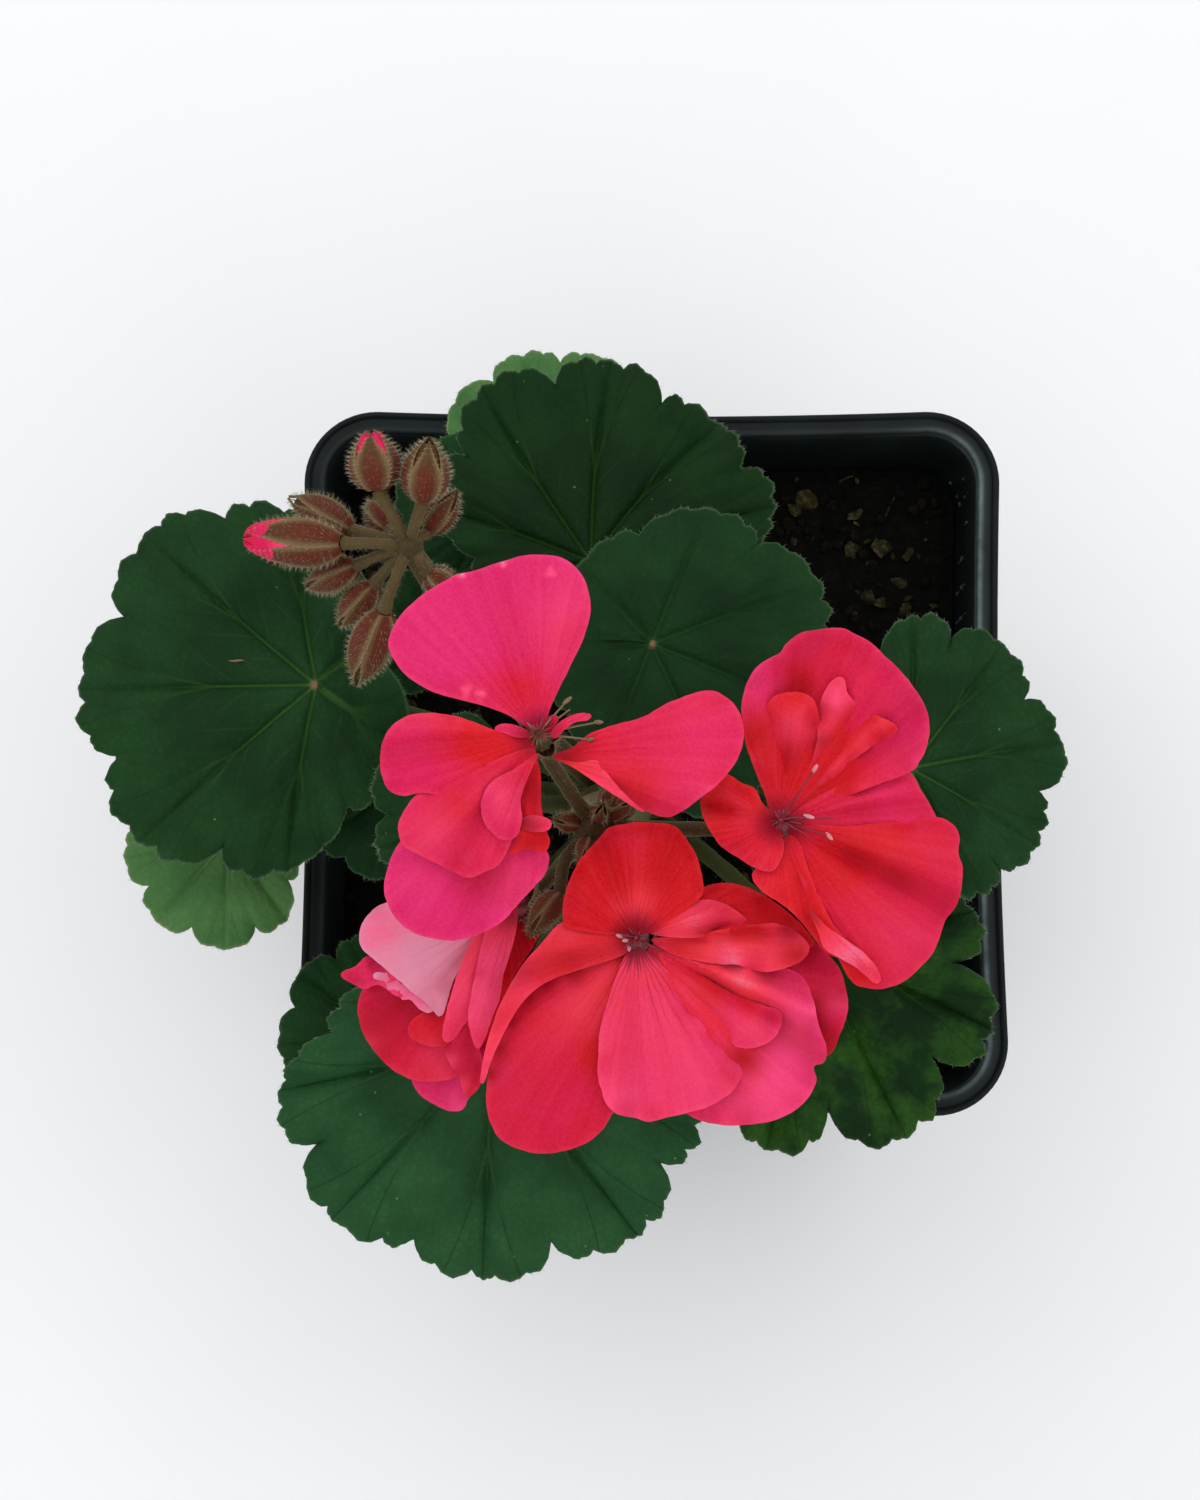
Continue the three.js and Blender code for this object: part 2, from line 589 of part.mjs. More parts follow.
/** The young umbel: a thin stalk, its hub, pedicels and nodding buds. */
function makeBudCluster(stemCut) {
  const foot = stemPoint(128);
  const bend = [-21, 0, 160];
  const hub = new THREE.SphereGeometry(2.4, 6, 4).translate(...BUD_HUB);
  let cluster = solidOf(tube([foot, bend, BUD_HUB], [1.7, 1.5, 1.5], 6, 6)).add(solidOf(hub));
  for (const bud of BUDS) {
    const middle = vector(BUD_HUB).lerp(vector(bud.base), 0.5).add(new THREE.Vector3(0, 0, 1.2)).toArray();
    cluster = cluster.add(solidOf(tube([BUD_HUB, middle, bud.base], [0.85, 0.85], 4, 2)));
    let body = solidOf(spindle(bud.base, bud.tip, budProfile(bud.radius), 6));
    if (bud.open) body = body.subtract(solidOf(budOpening(bud, GAP)));
    cluster = cluster.add(body);
  }
  return cluster.subtract(stemCut);
}

const plant = new THREE.Group();

function addPiece(name, solid, colour, roughness) {
  const material = new THREE.MeshStandardMaterial({ color: colour, roughness, metalness: 0 });
  const mesh = new THREE.Mesh(geometryOf(solid), material);
  mesh.name = name;
  plant.add(mesh);
}

const stemCut = solidOf(makeStemTube(GAP));
addPiece('pot', makePot(), COLOURS.pot, 0.45);
addPiece('soil', makeSoil(), COLOURS.soil, 0.95);
addPiece('stem', solidOf(makeStemTube(0)), COLOURS.stem, 0.8);
for (const [name, leaf] of Object.entries(LEAVES)) {
  addPiece(name, makeLeaf(leaf, stemCut), YOUNG_LEAVES.includes(name) ? COLOURS.young : COLOURS.leaf, 0.6);
}
addPiece('umbel_stalk', makeUmbelStalk(stemCut), COLOURS.stalk, 0.75);
for (const [name, floret] of Object.entries(FLORETS)) addPiece(name, makeFloret(floret), floret.colour, 0.55);
addPiece('bud_cluster', makeBudCluster(stemCut), COLOURS.bud, 0.75);
for (const bud of BUDS.filter(({ open }) => open)) {
  addPiece(bud.open, solidOf(budOpening(bud, 0)), COLOURS.petal, 0.55);
}

export default plant;
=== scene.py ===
"""Potted zonal geranium in a square nursery pot, dressed for a close look from above.

Lengths are in millimetres until a mesh is made, and angles are in degrees. The leaves, petals,
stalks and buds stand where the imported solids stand, by the same formulas, with finer skins.
"""

import logging
import math
from collections.abc import Sequence
from dataclasses import dataclass, field
from enum import Enum

import bpy
import numpy as np
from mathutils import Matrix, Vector, noise
from mathutils.geometry import delaunay_2d_cdt
from mathutils.kdtree import KDTree


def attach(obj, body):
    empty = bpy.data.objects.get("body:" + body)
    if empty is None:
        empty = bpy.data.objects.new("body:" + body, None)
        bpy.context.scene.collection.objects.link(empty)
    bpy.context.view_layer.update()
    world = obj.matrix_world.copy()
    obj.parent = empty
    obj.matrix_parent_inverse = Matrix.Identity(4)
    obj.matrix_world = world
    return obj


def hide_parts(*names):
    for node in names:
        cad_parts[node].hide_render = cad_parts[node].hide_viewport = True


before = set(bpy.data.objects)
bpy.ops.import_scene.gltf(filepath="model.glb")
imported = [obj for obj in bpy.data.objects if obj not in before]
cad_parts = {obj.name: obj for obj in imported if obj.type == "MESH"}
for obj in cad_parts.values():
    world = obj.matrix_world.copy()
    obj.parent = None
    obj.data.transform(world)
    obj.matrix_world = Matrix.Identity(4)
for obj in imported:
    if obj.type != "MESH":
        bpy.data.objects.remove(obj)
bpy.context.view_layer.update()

log = logging.getLogger("geranium")

Array = np.ndarray
Point = tuple[float, float, float]

MM = 0.001
BODY = "root"

# Photograph's frame and the camera that fits it
FRAME_HEIGHT = 1500
SENSOR = 36.0
FOCAL_PIXELS = 3842.7
CAMERA_TILT = 8.5
CAMERA_PLACE: Point = (-8.2, -87.34, 693.41)

# Pot and peat
POT_HEIGHT = 100.0
POT_WIDTH = 110.0
POT_DEPTH = 111.4
POT_BASE = 80.0
POT_WALL = 1.4
POT_CORNER = 11.5
POT_BASE_CORNER = 9.0
POT_FLOOR = 1.8
RIM_LEDGE = 2.6
RIM_SKIRT = 12.0
RIM_SKIN = 1.0
SIDE_BOW = 0.8
DRAIN_RADIUS = 4.5
DRAIN_OFFSET = 25.0
SOIL_TOP = 86.0
GAP = 0.3

# Stems and stalks
STEM_PATH: tuple[Point, ...] = (
    (-5, -3, 60), (-5, -4, 88), (-3.5, -7, 106), (-5, -10, 124), (-8, -13, 142),
)
STEM_RADII = (5.4, 5.2, 4.6, 4.0, 3.0)
PETIOLE_RADIUS = 1.3
PEDUNCLE_RADIUS = 1.8
PEDICEL_RADIUS = 1.0
CALYX_HEIGHT = 4.5
CALYX_RADIUS = 1.7
FLORET_CORE = 1.9
UMBEL_HUB: Point = (-9, -21.5, 184)
BUD_HUB: Point = (-34, 16.5, 184)

# Blades, petals and their meshes
TOOTH_COLUMNS = 9
VEIN_SPACING = 5.2
BLADE_THICK = 0.62
RIB_THICK = 0.45
FLECK_RADII = np.array([0.05, 0.14, 0.2, 0.2, 0.17, 0.1, 0.04])
PETAL_STEP = 0.45
PETAL_FILL = 0.72
PETAL_THICK = 0.34
PETAL_THINNING = 0.22
ROW_SHARE = 0.866
SHARP_ANGLE = 65

# Mix node sockets for colours
MIX_FACTOR = 0
MIX_A = 6
MIX_B = 7


class Slot(Enum):
    """The record's material slots."""

    POT = "pot_plastic"
    PEAT = "peat"
    STEM = "stem_bark"
    LEAF = "leaf_mature"
    YOUNG = "leaf_young"
    STALK = "flower_stalk"
    BUD = "bud_skin"
    PINK = "petal_pink"
    RED = "petal_red"


def rgba(code: str) -> tuple[float, float, float, float]:
    """Turns an sRGB hex colour into a linear one.

    Args:
        code: six hex digits with a leading hash.

    Returns:
        Linear red, green and blue with an alpha of 1.
    """
    parts = [int(code[i:i + 2], 16) / 255 for i in (1, 3, 5)]
    linear = [c / 12.92 if c <= 0.04045 else ((c + 0.055) / 1.055) ** 2.4 for c in parts]
    return (linear[0], linear[1], linear[2], 1.0)


def rise(value: Array | float, low: float, high: float) -> Array:
    """Rises smoothly from 0 at low to 1 at high."""
    t = np.clip((np.asarray(value, float) - low) / (high - low), 0, 1)
    return t * t * (3 - 2 * t)


def unit(vectors: Array) -> Array:
    """Scales vectors to a length of 1."""
    lengths = np.linalg.norm(vectors, axis=-1, keepdims=True)
    return vectors / np.maximum(lengths, 1e-9)


def turn(axis: int, degrees: float) -> Array:
    """The matrix of a turn about X, Y or Z."""
    c, s = math.cos(math.radians(degrees)), math.sin(math.radians(degrees))
    i, j = (axis + 1) % 3, (axis + 2) % 3
    matrix = np.eye(3)
    matrix[i, i] = matrix[j, j] = c
    matrix[i, j] = -s
    matrix[j, i] = s
    return matrix


def place(points: Array, at: Point, heading: float, pitch: float, roll: float) -> Array:
    """Turns points by roll, pitch and heading, in that order, and moves them to a place."""
    matrix = turn(2, heading) @ turn(1, -pitch) @ turn(0, roll)
    return points @ matrix.T + np.array(at)


def smooth_path(path: Sequence[Sequence[float]], steps: int) -> Array:
    """Evenly spaced points on a centripetal Catmull-Rom curve.

    Args:
        path: the points that the curve passes through.
        steps: how many stretches the curve is cut into.

    Returns:
        steps + 1 points.
    """
    knots = np.array(path, float)
    knots = np.vstack([2 * knots[0] - knots[1], knots, 2 * knots[-1] - knots[-2]])
    t = np.linspace(0, 1, 40, endpoint=False)[:, None]
    pieces = []
    for a, b, c, d in zip(knots, knots[1:], knots[2:], knots[3:]):
        before, here, after = (np.linalg.norm(v) ** 0.5 for v in (b - a, c - b, d - c))
        leave = ((b - a) / before - (c - a) / (before + here) + (c - b) / here) * here
        reach = ((c - b) / here - (d - b) / (here + after) + (d - c) / after) * here
        square = 3 * (c - b) - 2 * leave - reach
        cube = 2 * (b - c) + leave + reach
        pieces.append(b + leave * t + square * t ** 2 + cube * t ** 3)
    line = np.vstack([*pieces, knots[-2:-1]])
    run = np.concatenate([[0], np.cumsum(np.linalg.norm(np.diff(line, axis=0), axis=1))])
    even = np.linspace(0, run[-1], steps + 1)
    return np.stack([np.interp(even, run, line[:, k]) for k in range(3)], axis=1)


def stem_point(z: float) -> Array:
    """The point on the stem's axis at a height."""
    line = smooth_path(STEM_PATH, 100)
    return line[np.argmin(np.abs(line[:, 2] - z))]


def wall_faces(rows: int, columns: int, closed: bool) -> Array:
    """Quads of a grid of points whose rows may close into rings."""
    spans = columns if closed else columns - 1
    i, j = np.meshgrid(np.arange(rows - 1), np.arange(spans), indexing="ij")
    after = (j + 1) % columns
    corners = [i * columns + j, i * columns + after, (i + 1) * columns + after, (i + 1) * columns + j]
    return np.stack([c.ravel() for c in corners], axis=1)


@dataclass
class Skin:
    """Points with their faces and the two sets of numbers that the finishes read."""

    points: Array
    faces: list[Array]
    coords: Array
    tone: Array

    @classmethod
    def of(cls, points: Array, faces: list[Array], coords: Array | None = None,
           tone: Array | None = None) -> "Skin":
        """Fills in zeros where a skin has no numbers of its own."""
        blank = np.zeros((len(points), 3))
        return cls(points, faces, blank if coords is None else coords, blank if tone is None else tone)


def loft(rings: Array, coords: Array | None = None, tone: Array | None = None) -> Skin:
    """Joins rings into one closed skin, with a fan over each end.

    Args:
        rings: points as rings by points by three.
        coords: numbers for each point, in the same layout.
        tone: more numbers for each point.

    Returns:
        The closed skin.
    """
    rows, columns = rings.shape[:2]
    ends = [rings[0].mean(axis=0), rings[-1].mean(axis=0)]
    points = np.vstack([rings.reshape(-1, 3), ends])
    first = rows * columns
    j = np.arange(columns)
    after = (j + 1) % columns
    top = (rows - 1) * columns
    low = np.stack([np.full(columns, first), after, j], axis=1)
    high = np.stack([np.full(columns, first + 1), top + j, top + after], axis=1)

    def spread(values: Array | None) -> Array | None:
        """Adds the end points' numbers."""
        if values is None:
            return None
        return np.vstack([values.reshape(-1, 3), values[0].mean(axis=0), values[-1].mean(axis=0)])

    return Skin.of(points, [wall_faces(rows, columns, True), low, high], spread(coords), spread(tone))


def smooth_loop(knots: Array, spacing: float) -> Array:
    """Evenly spaced points on a closed Catmull-Rom curve.

    Args:
        knots: the points that the curve passes through.
        spacing: the distance between the points returned.

    Returns:
        The points, without the first one again at the end.
    """
    a, b, c, d = (np.roll(knots, k, axis=0) for k in (1, 0, -1, -2))
    t = np.linspace(0, 1, 24, endpoint=False)[:, None, None]
    square = 2 * a - 5 * b + 4 * c - d
    cube = 3 * b - a - 3 * c + d
    line = 0.5 * (2 * b + (c - a) * t + square * t ** 2 + cube * t ** 3)
    line = line.transpose(1, 0, 2).reshape(-1, 2)
    closed = np.vstack([line, line[:1]])
    run = np.concatenate([[0], np.cumsum(np.linalg.norm(np.diff(closed, axis=0), axis=1))])
    even = np.linspace(0, run[-1], max(12, int(run[-1] / spacing)), endpoint=False)
    return np.stack([np.interp(even, run, closed[:, k]) for k in range(2)], axis=1)


def edge_distance(points: Array, outline: Array) -> tuple[Array, Array]:
    """Distances from points to an outline's points, and the numbers of the nearest ones."""
    gaps = np.linalg.norm(points[:, None] - outline[None], axis=2)
    return gaps.min(axis=1), gaps.argmin(axis=1)


def fill_outline(outline: Array, spacing: float) -> tuple[Array, Array]:
    """Fills an outline with even triangles.

    Args:
        outline: the outline's points, in order.
        spacing: the triangles' width.

    Returns:
        The points in plan and the triangles, anticlockwise.
    """
    low, high = outline.min(axis=0), outline.max(axis=0)
    xs = np.arange(low[0], high[0], spacing)
    ys = np.arange(low[1], high[1], spacing * ROW_SHARE)
    grid = np.array([(x + spacing / 2 * (k % 2), y) for k, y in enumerate(ys) for x in xs])
    after = np.roll(outline, -1, axis=0)
    span = after[:, 1] - outline[:, 1]
    span = np.where(np.abs(span) < 1e-9, 1e-9, span)
    crossed = (outline[None, :, 1] > grid[:, None, 1]) != (after[None, :, 1] > grid[:, None, 1])
    reach = outline[:, 0] + (after[:, 0] - outline[:, 0]) * (grid[:, None, 1] - outline[:, 1]) / span
    inside = (crossed & (grid[:, None, 0] < reach)).sum(axis=1) % 2 == 1
    kept = grid[inside & (edge_distance(grid, outline)[0] > 0.55 * spacing)]
    points = np.vstack([outline, kept])
    made = delaunay_2d_cdt([Vector(p) for p in points], [], [list(range(len(outline)))], 1, 1e-5)
    flat = np.array([tuple(v) for v in made[0]])
    triangles = np.array(made[2])
    a, b, c = (flat[triangles[:, k]] for k in range(3))
    area = (b[:, 0] - a[:, 0]) * (c[:, 1] - a[:, 1]) - (b[:, 1] - a[:, 1]) * (c[:, 0] - a[:, 0])
    triangles[area < 0] = triangles[area < 0][:, ::-1]
    return flat, triangles[np.abs(area) > 1e-7]


def plate(upper: Array, triangles: Array, thick: Array, coords: Array, tone: Array, under: Array) -> Skin:
    """Gives a triangulated surface a thickness along its own normals and closes it all round.

    Args:
        upper: the upper face's points.
        triangles: its triangles, anticlockwise from above.
        thick: the thickness at each point.
        coords: numbers for each point, the same on both faces.
        tone: more numbers, for the upper face.
        under: the same numbers for the lower face.

    Returns:
        The closed skin.
    """
    a, b, c = (upper[triangles[:, k]] for k in range(3))
    across = np.cross(b - a, c - a)
    normals = np.zeros_like(upper)
    for k in range(3):
        np.add.at(normals, triangles[:, k], across)
    lower = upper - unit(normals) * thick[:, None]
    size = len(upper)
    sides = np.vstack([triangles[:, [0, 1]], triangles[:, [1, 2]], triangles[:, [2, 0]]])
    known = {(int(p), int(q)) for p, q in sides}
    rim = np.array([(p, q) for p, q in sides if (int(q), int(p)) not in known])
    wall = np.stack([rim[:, 1], rim[:, 0], rim[:, 0] + size, rim[:, 1] + size], axis=1)
    return Skin(
        np.vstack([upper, lower]), [triangles, triangles[:, ::-1] + size, wall],
        np.vstack([coords, coords]), np.vstack([tone, under]),
    )


def tube_rings(line: Array, radii: Array, sides: int) -> tuple[Array, Array]:
    """Rings of points round a line, and the directions that they stand out in."""
    tangents = unit(np.gradient(line, axis=0))
    side = np.array([1.0, 0, 0]) if abs(tangents[0][0]) < 0.8 else np.array([0, 1.0, 0])
    angles = 2 * np.pi * np.arange(sides) / sides
    outward = []
    for tangent in tangents:
        side = side - tangent * (side @ tangent)
        side = side / np.linalg.norm(side)
        other = np.cross(tangent, side)
        outward.append(np.outer(np.cos(angles), side) + np.outer(np.sin(angles), other))
    directions = np.array(outward)
    return line[:, None] + directions * radii[:, None, None], directions


def spikes(roots: Array, directions: Array, lengths: Array, radius: float, sunk: float = 0.15) -> Skin:
    """Closed three-sided hairs that taper to a point.

    Args:
        roots: where each hair leaves the surface.
        directions: unit vectors that the hairs grow in.
        lengths: each hair's length above its root.
        radius: half the width of a hair's foot.
        sunk: how far the foot reaches below the root.

    Returns:
        One skin that holds all of them.
    """
    count = len(roots)
    helper = np.where(np.abs(directions[:, 2:3]) < 0.9, [[0, 0, 1.0]], [[1.0, 0, 0]])
    side = unit(np.cross(directions, helper))
    other = np.cross(directions, side)
    foot = roots - directions * sunk
    corners = [
        foot + radius * (math.cos(a) * side + math.sin(a) * other)
        for a in (0, 2 * math.pi / 3, 4 * math.pi / 3)
    ]
    points = np.stack([*corners, roots + directions * lengths[:, None]], axis=1).reshape(-1, 3)
    pattern = np.array([[0, 2, 1], [0, 1, 3], [1, 2, 3], [2, 0, 3]])
    faces = (np.arange(count)[:, None, None] * 4 + pattern).reshape(-1, 3)
    return Skin.of(points, [faces])


@dataclass
class Piece:
    """One visible piece, gathered part by part in millimetres."""

    name: str
    slot: Slot
    stands_for: str
    skins: list[Skin] = field(default_factory=list)
    materials: list[bpy.types.Material] = field(default_factory=list)
    picks: list[int] = field(default_factory=list)

    def add(self, skin: Skin, material: bpy.types.Material) -> None:
        """Adds a skin with its finish, turned so that its faces look outward."""
        volume = 0.0
        for group in skin.faces:
            a, b, c = (skin.points[group[:, k]] for k in (0, 1, 2))
            volume += float(np.einsum("ij,ij->", a, np.cross(b, c)))
            if group.shape[1] == 4:
                volume += float(np.einsum("ij,ij->", a, np.cross(c, skin.points[group[:, 3]])))
        if volume < 0:
            skin.faces = [group[:, ::-1] for group in skin.faces]
        if material not in self.materials:
            self.materials.append(material)
        self.skins.append(skin)
        self.picks.append(self.materials.index(material))

    def finish(self) -> bpy.types.Object:
        """Makes the mesh in metres and hands it to the frame.

        Returns:
            The new object, riding on the part's body in its node's stead.
        """
        mesh = bpy.data.meshes.new(self.name)
        faces: list[list[int]] = []
        picks: list[int] = []
        start = 0
        for skin, pick in zip(self.skins, self.picks):
            for group in skin.faces:
                faces.extend((group + start).tolist())
                picks.extend([pick] * len(group))
            start += len(skin.points)
        points = np.vstack([skin.points for skin in self.skins]) * MM
        mesh.from_pydata(points.tolist(), [], faces)
        mesh.polygons.foreach_set("material_index", picks)
        for label in ("coords", "tone"):
            values = np.vstack([getattr(skin, label) for skin in self.skins])
            layer = mesh.attributes.new(label, "FLOAT_VECTOR", "POINT")
            layer.data.foreach_set("vector", values.astype(np.float32).ravel())
        mesh.shade_smooth()
        mesh.set_sharp_from_angle(angle=math.radians(SHARP_ANGLE))
        for material in self.materials:
            mesh.materials.append(material)
        piece = bpy.data.objects.new(self.name, mesh)
        bpy.context.scene.collection.objects.link(piece)
        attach(piece, BODY)
        if self.stands_for:
            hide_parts(self.stands_for)
        log.info("%s: %d faces", self.name, len(faces))
        return piece


def add_node(tree: bpy.types.NodeTree, kind: str, inputs: dict | None = None,
             **settings: object) -> bpy.types.Node:
    """Adds a node with its settings and links.

    Args:
        tree: the material's or world's node tree.
        kind: Blender's name for the node type.
        inputs: what feeds each input, by its name or number: a node, whose first open output is
            linked, a socket or a plain value.
        settings: the node's own properties, set before its inputs.

    Returns:
        The new node.
    """
    node = tree.nodes.new(kind)
    for name, value in settings.items():
        setattr(node, name, value)
    for key, value in (inputs or {}).items():
        if isinstance(value, bpy.types.Node):
            value = next(socket for socket in value.outputs if socket.enabled)
        if isinstance(value, bpy.types.NodeSocket):
            tree.links.new(value, node.inputs[key])
        else:
            node.inputs[key].default_value = value
    return node


def new_material(name: str) -> tuple[bpy.types.Material, bpy.types.NodeTree, bpy.types.Node]:
    """An empty material with its tree and its output node."""
    material = bpy.data.materials.new(name)
    material.use_nodes = True
    tree = material.node_tree
    tree.nodes.clear()
    return material, tree, add_node(tree, "ShaderNodeOutputMaterial")


def texture_place(tree: bpy.types.NodeTree) -> bpy.types.NodeSocket:
    """Places in millimetres, so that a pattern's scale is one over its real size."""
    place_node = add_node(tree, "ShaderNodeTexCoord")
    return add_node(
        tree, "ShaderNodeVectorMath", {0: place_node.outputs["Object"], "Scale": 1 / MM},
        operation="SCALE",
    ).outputs[0]


def stored(tree: bpy.types.NodeTree, label: str) -> Sequence[bpy.types.NodeSocket]:
    """The three numbers that the mesh holds for each point under a label."""
    numbers = add_node(tree, "ShaderNodeAttribute", attribute_name=label)
    return add_node(tree, "ShaderNodeSeparateXYZ", {0: numbers.outputs["Vector"]}).outputs


@dataclass(frozen=True)
class MouldedPolypropylene:
    """Black-green polypropylene, injection moulded thin: satin, with soft flow marks and scuffs.

    tone holds the share of a painted highlight that lies along the inner lip, strongest on the right side.
    """

    base: str = "#0b100f"
    bloom: str = "#151c1b"
    # Painted highlight colour for the inner lip
    lip_highlight: str = "#6d7a7a"
    roughness: float = 0.46
    ior: float = 1.49
    flow_mm: float = 14.0
    grain_mm: float = 0.35
    scuff_mm: float = 5.0

    def material(self) -> bpy.types.Material:
        """Dark skin whose grey bloom and scuffs vary the look from place to place, with a painted highlight
        along the inner lip that the scuffs break up.
        """
        material, tree, output = new_material("moulded_polypropylene")
        place_mm = texture_place(tree)
        flow = add_node(tree, "ShaderNodeTexNoise",
                        {"Vector": place_mm, "Scale": 1 / self.flow_mm, "Detail": 4.0, "Roughness": 0.6})
        scuff = add_node(tree, "ShaderNodeTexNoise",
                         {"Vector": place_mm, "Scale": 1 / self.scuff_mm, "Detail": 8.0, "Roughness": 0.7})
        grain = add_node(tree, "ShaderNodeTexNoise", {"Vector": place_mm, "Scale": 1 / self.grain_mm})
        amount = add_node(tree, "ShaderNodeMapRange", {"Value": flow, "From Min": 0.35, "From Max": 0.75})
        colour = add_node(tree, "ShaderNodeMix",
                          {MIX_FACTOR: amount, MIX_A: rgba(self.base), MIX_B: rgba(self.bloom)},
                          data_type="RGBA")
        tone = stored(tree, "tone")
        # Painted highlight along the inner lip, broken up by the scuff pattern
        lip_highlight_amount = add_node(tree, "ShaderNodeMapRange",
                        {"Value": scuff, "From Min": 0.3, "From Max": 0.6, "To Min": 0.4, "To Max": 1.0})
        lip_highlight_share = add_node(tree, "ShaderNodeMath", {0: lip_highlight_amount, 1: tone[0]}, operation="MULTIPLY")
        colour = add_node(tree, "ShaderNodeMix",
                          {MIX_FACTOR: lip_highlight_share, MIX_A: colour, MIX_B: rgba(self.lip_highlight)}, data_type="RGBA")
        gloss = add_node(tree, "ShaderNodeMapRange",
                         {"Value": scuff, "From Min": 0.4, "From Max": 0.7, "To Min": self.roughness,
                          "To Max": self.roughness + 0.16})
        bump = add_node(tree, "ShaderNodeBump", {"Height": grain, "Strength": 0.12, "Distance": 0.05 * MM})
        surface = add_node(tree, "ShaderNodeBsdfPrincipled",
                           {"Base Color": colour, "Roughness": gloss, "IOR": self.ior,
                            "Specular IOR Level": 0.14, "Normal": bump})
        tree.links.new(surface.outputs[0], output.inputs[0])
        return material


@dataclass(frozen=True)
class MilledPeat:
    """Moist sphagnum peat, milled and pressed by hand: almost black, crumbly, with brown fibre.

    Its crumbs, bark chips, straw and dried lime have the same dull grain in their own colours.
    """

    name: str = "milled_peat"
    dark: str = "#050604"
    light: str = "#19170c"
    crumb_mm: float = 1.6
    fibre_mm: float = 0.4
    roughness: float = 0.92

    def material(self) -> bpy.types.Material:
        """Near-black crumbs with brown high spots, so that it reads as damp and loose."""
        material, tree, output = new_material(self.name)
        place_mm = texture_place(tree)
        crumbs = add_node(tree, "ShaderNodeTexNoise",
                          {"Vector": place_mm, "Scale": 1 / self.crumb_mm, "Detail": 6.0, "Roughness": 0.7})
        fibre = add_node(tree, "ShaderNodeTexNoise",
                         {"Vector": place_mm, "Scale": 1 / self.fibre_mm, "Detail": 3.0, "Distortion": 1.5})
        amount = add_node(tree, "ShaderNodeMapRange", {"Value": crumbs, "From Min": 0.48, "From Max": 0.8})
        colour = add_node(tree, "ShaderNodeMix",
                          {MIX_FACTOR: amount, MIX_A: rgba(self.dark), MIX_B: rgba(self.light)},
                          data_type="RGBA")
        height = add_node(tree, "ShaderNodeMath", {0: crumbs, 1: fibre}, operation="ADD")
        bump = add_node(tree, "ShaderNodeBump", {"Height": height, "Strength": 0.8, "Distance": 0.5 * MM})
        surface = add_node(tree, "ShaderNodeBsdfPrincipled",
                           {"Base Color": colour, "Roughness": self.roughness, "Specular IOR Level": 0.1,
                            "Normal": bump})
        tree.links.new(surface.outputs[0], output.inputs[0])
        return material


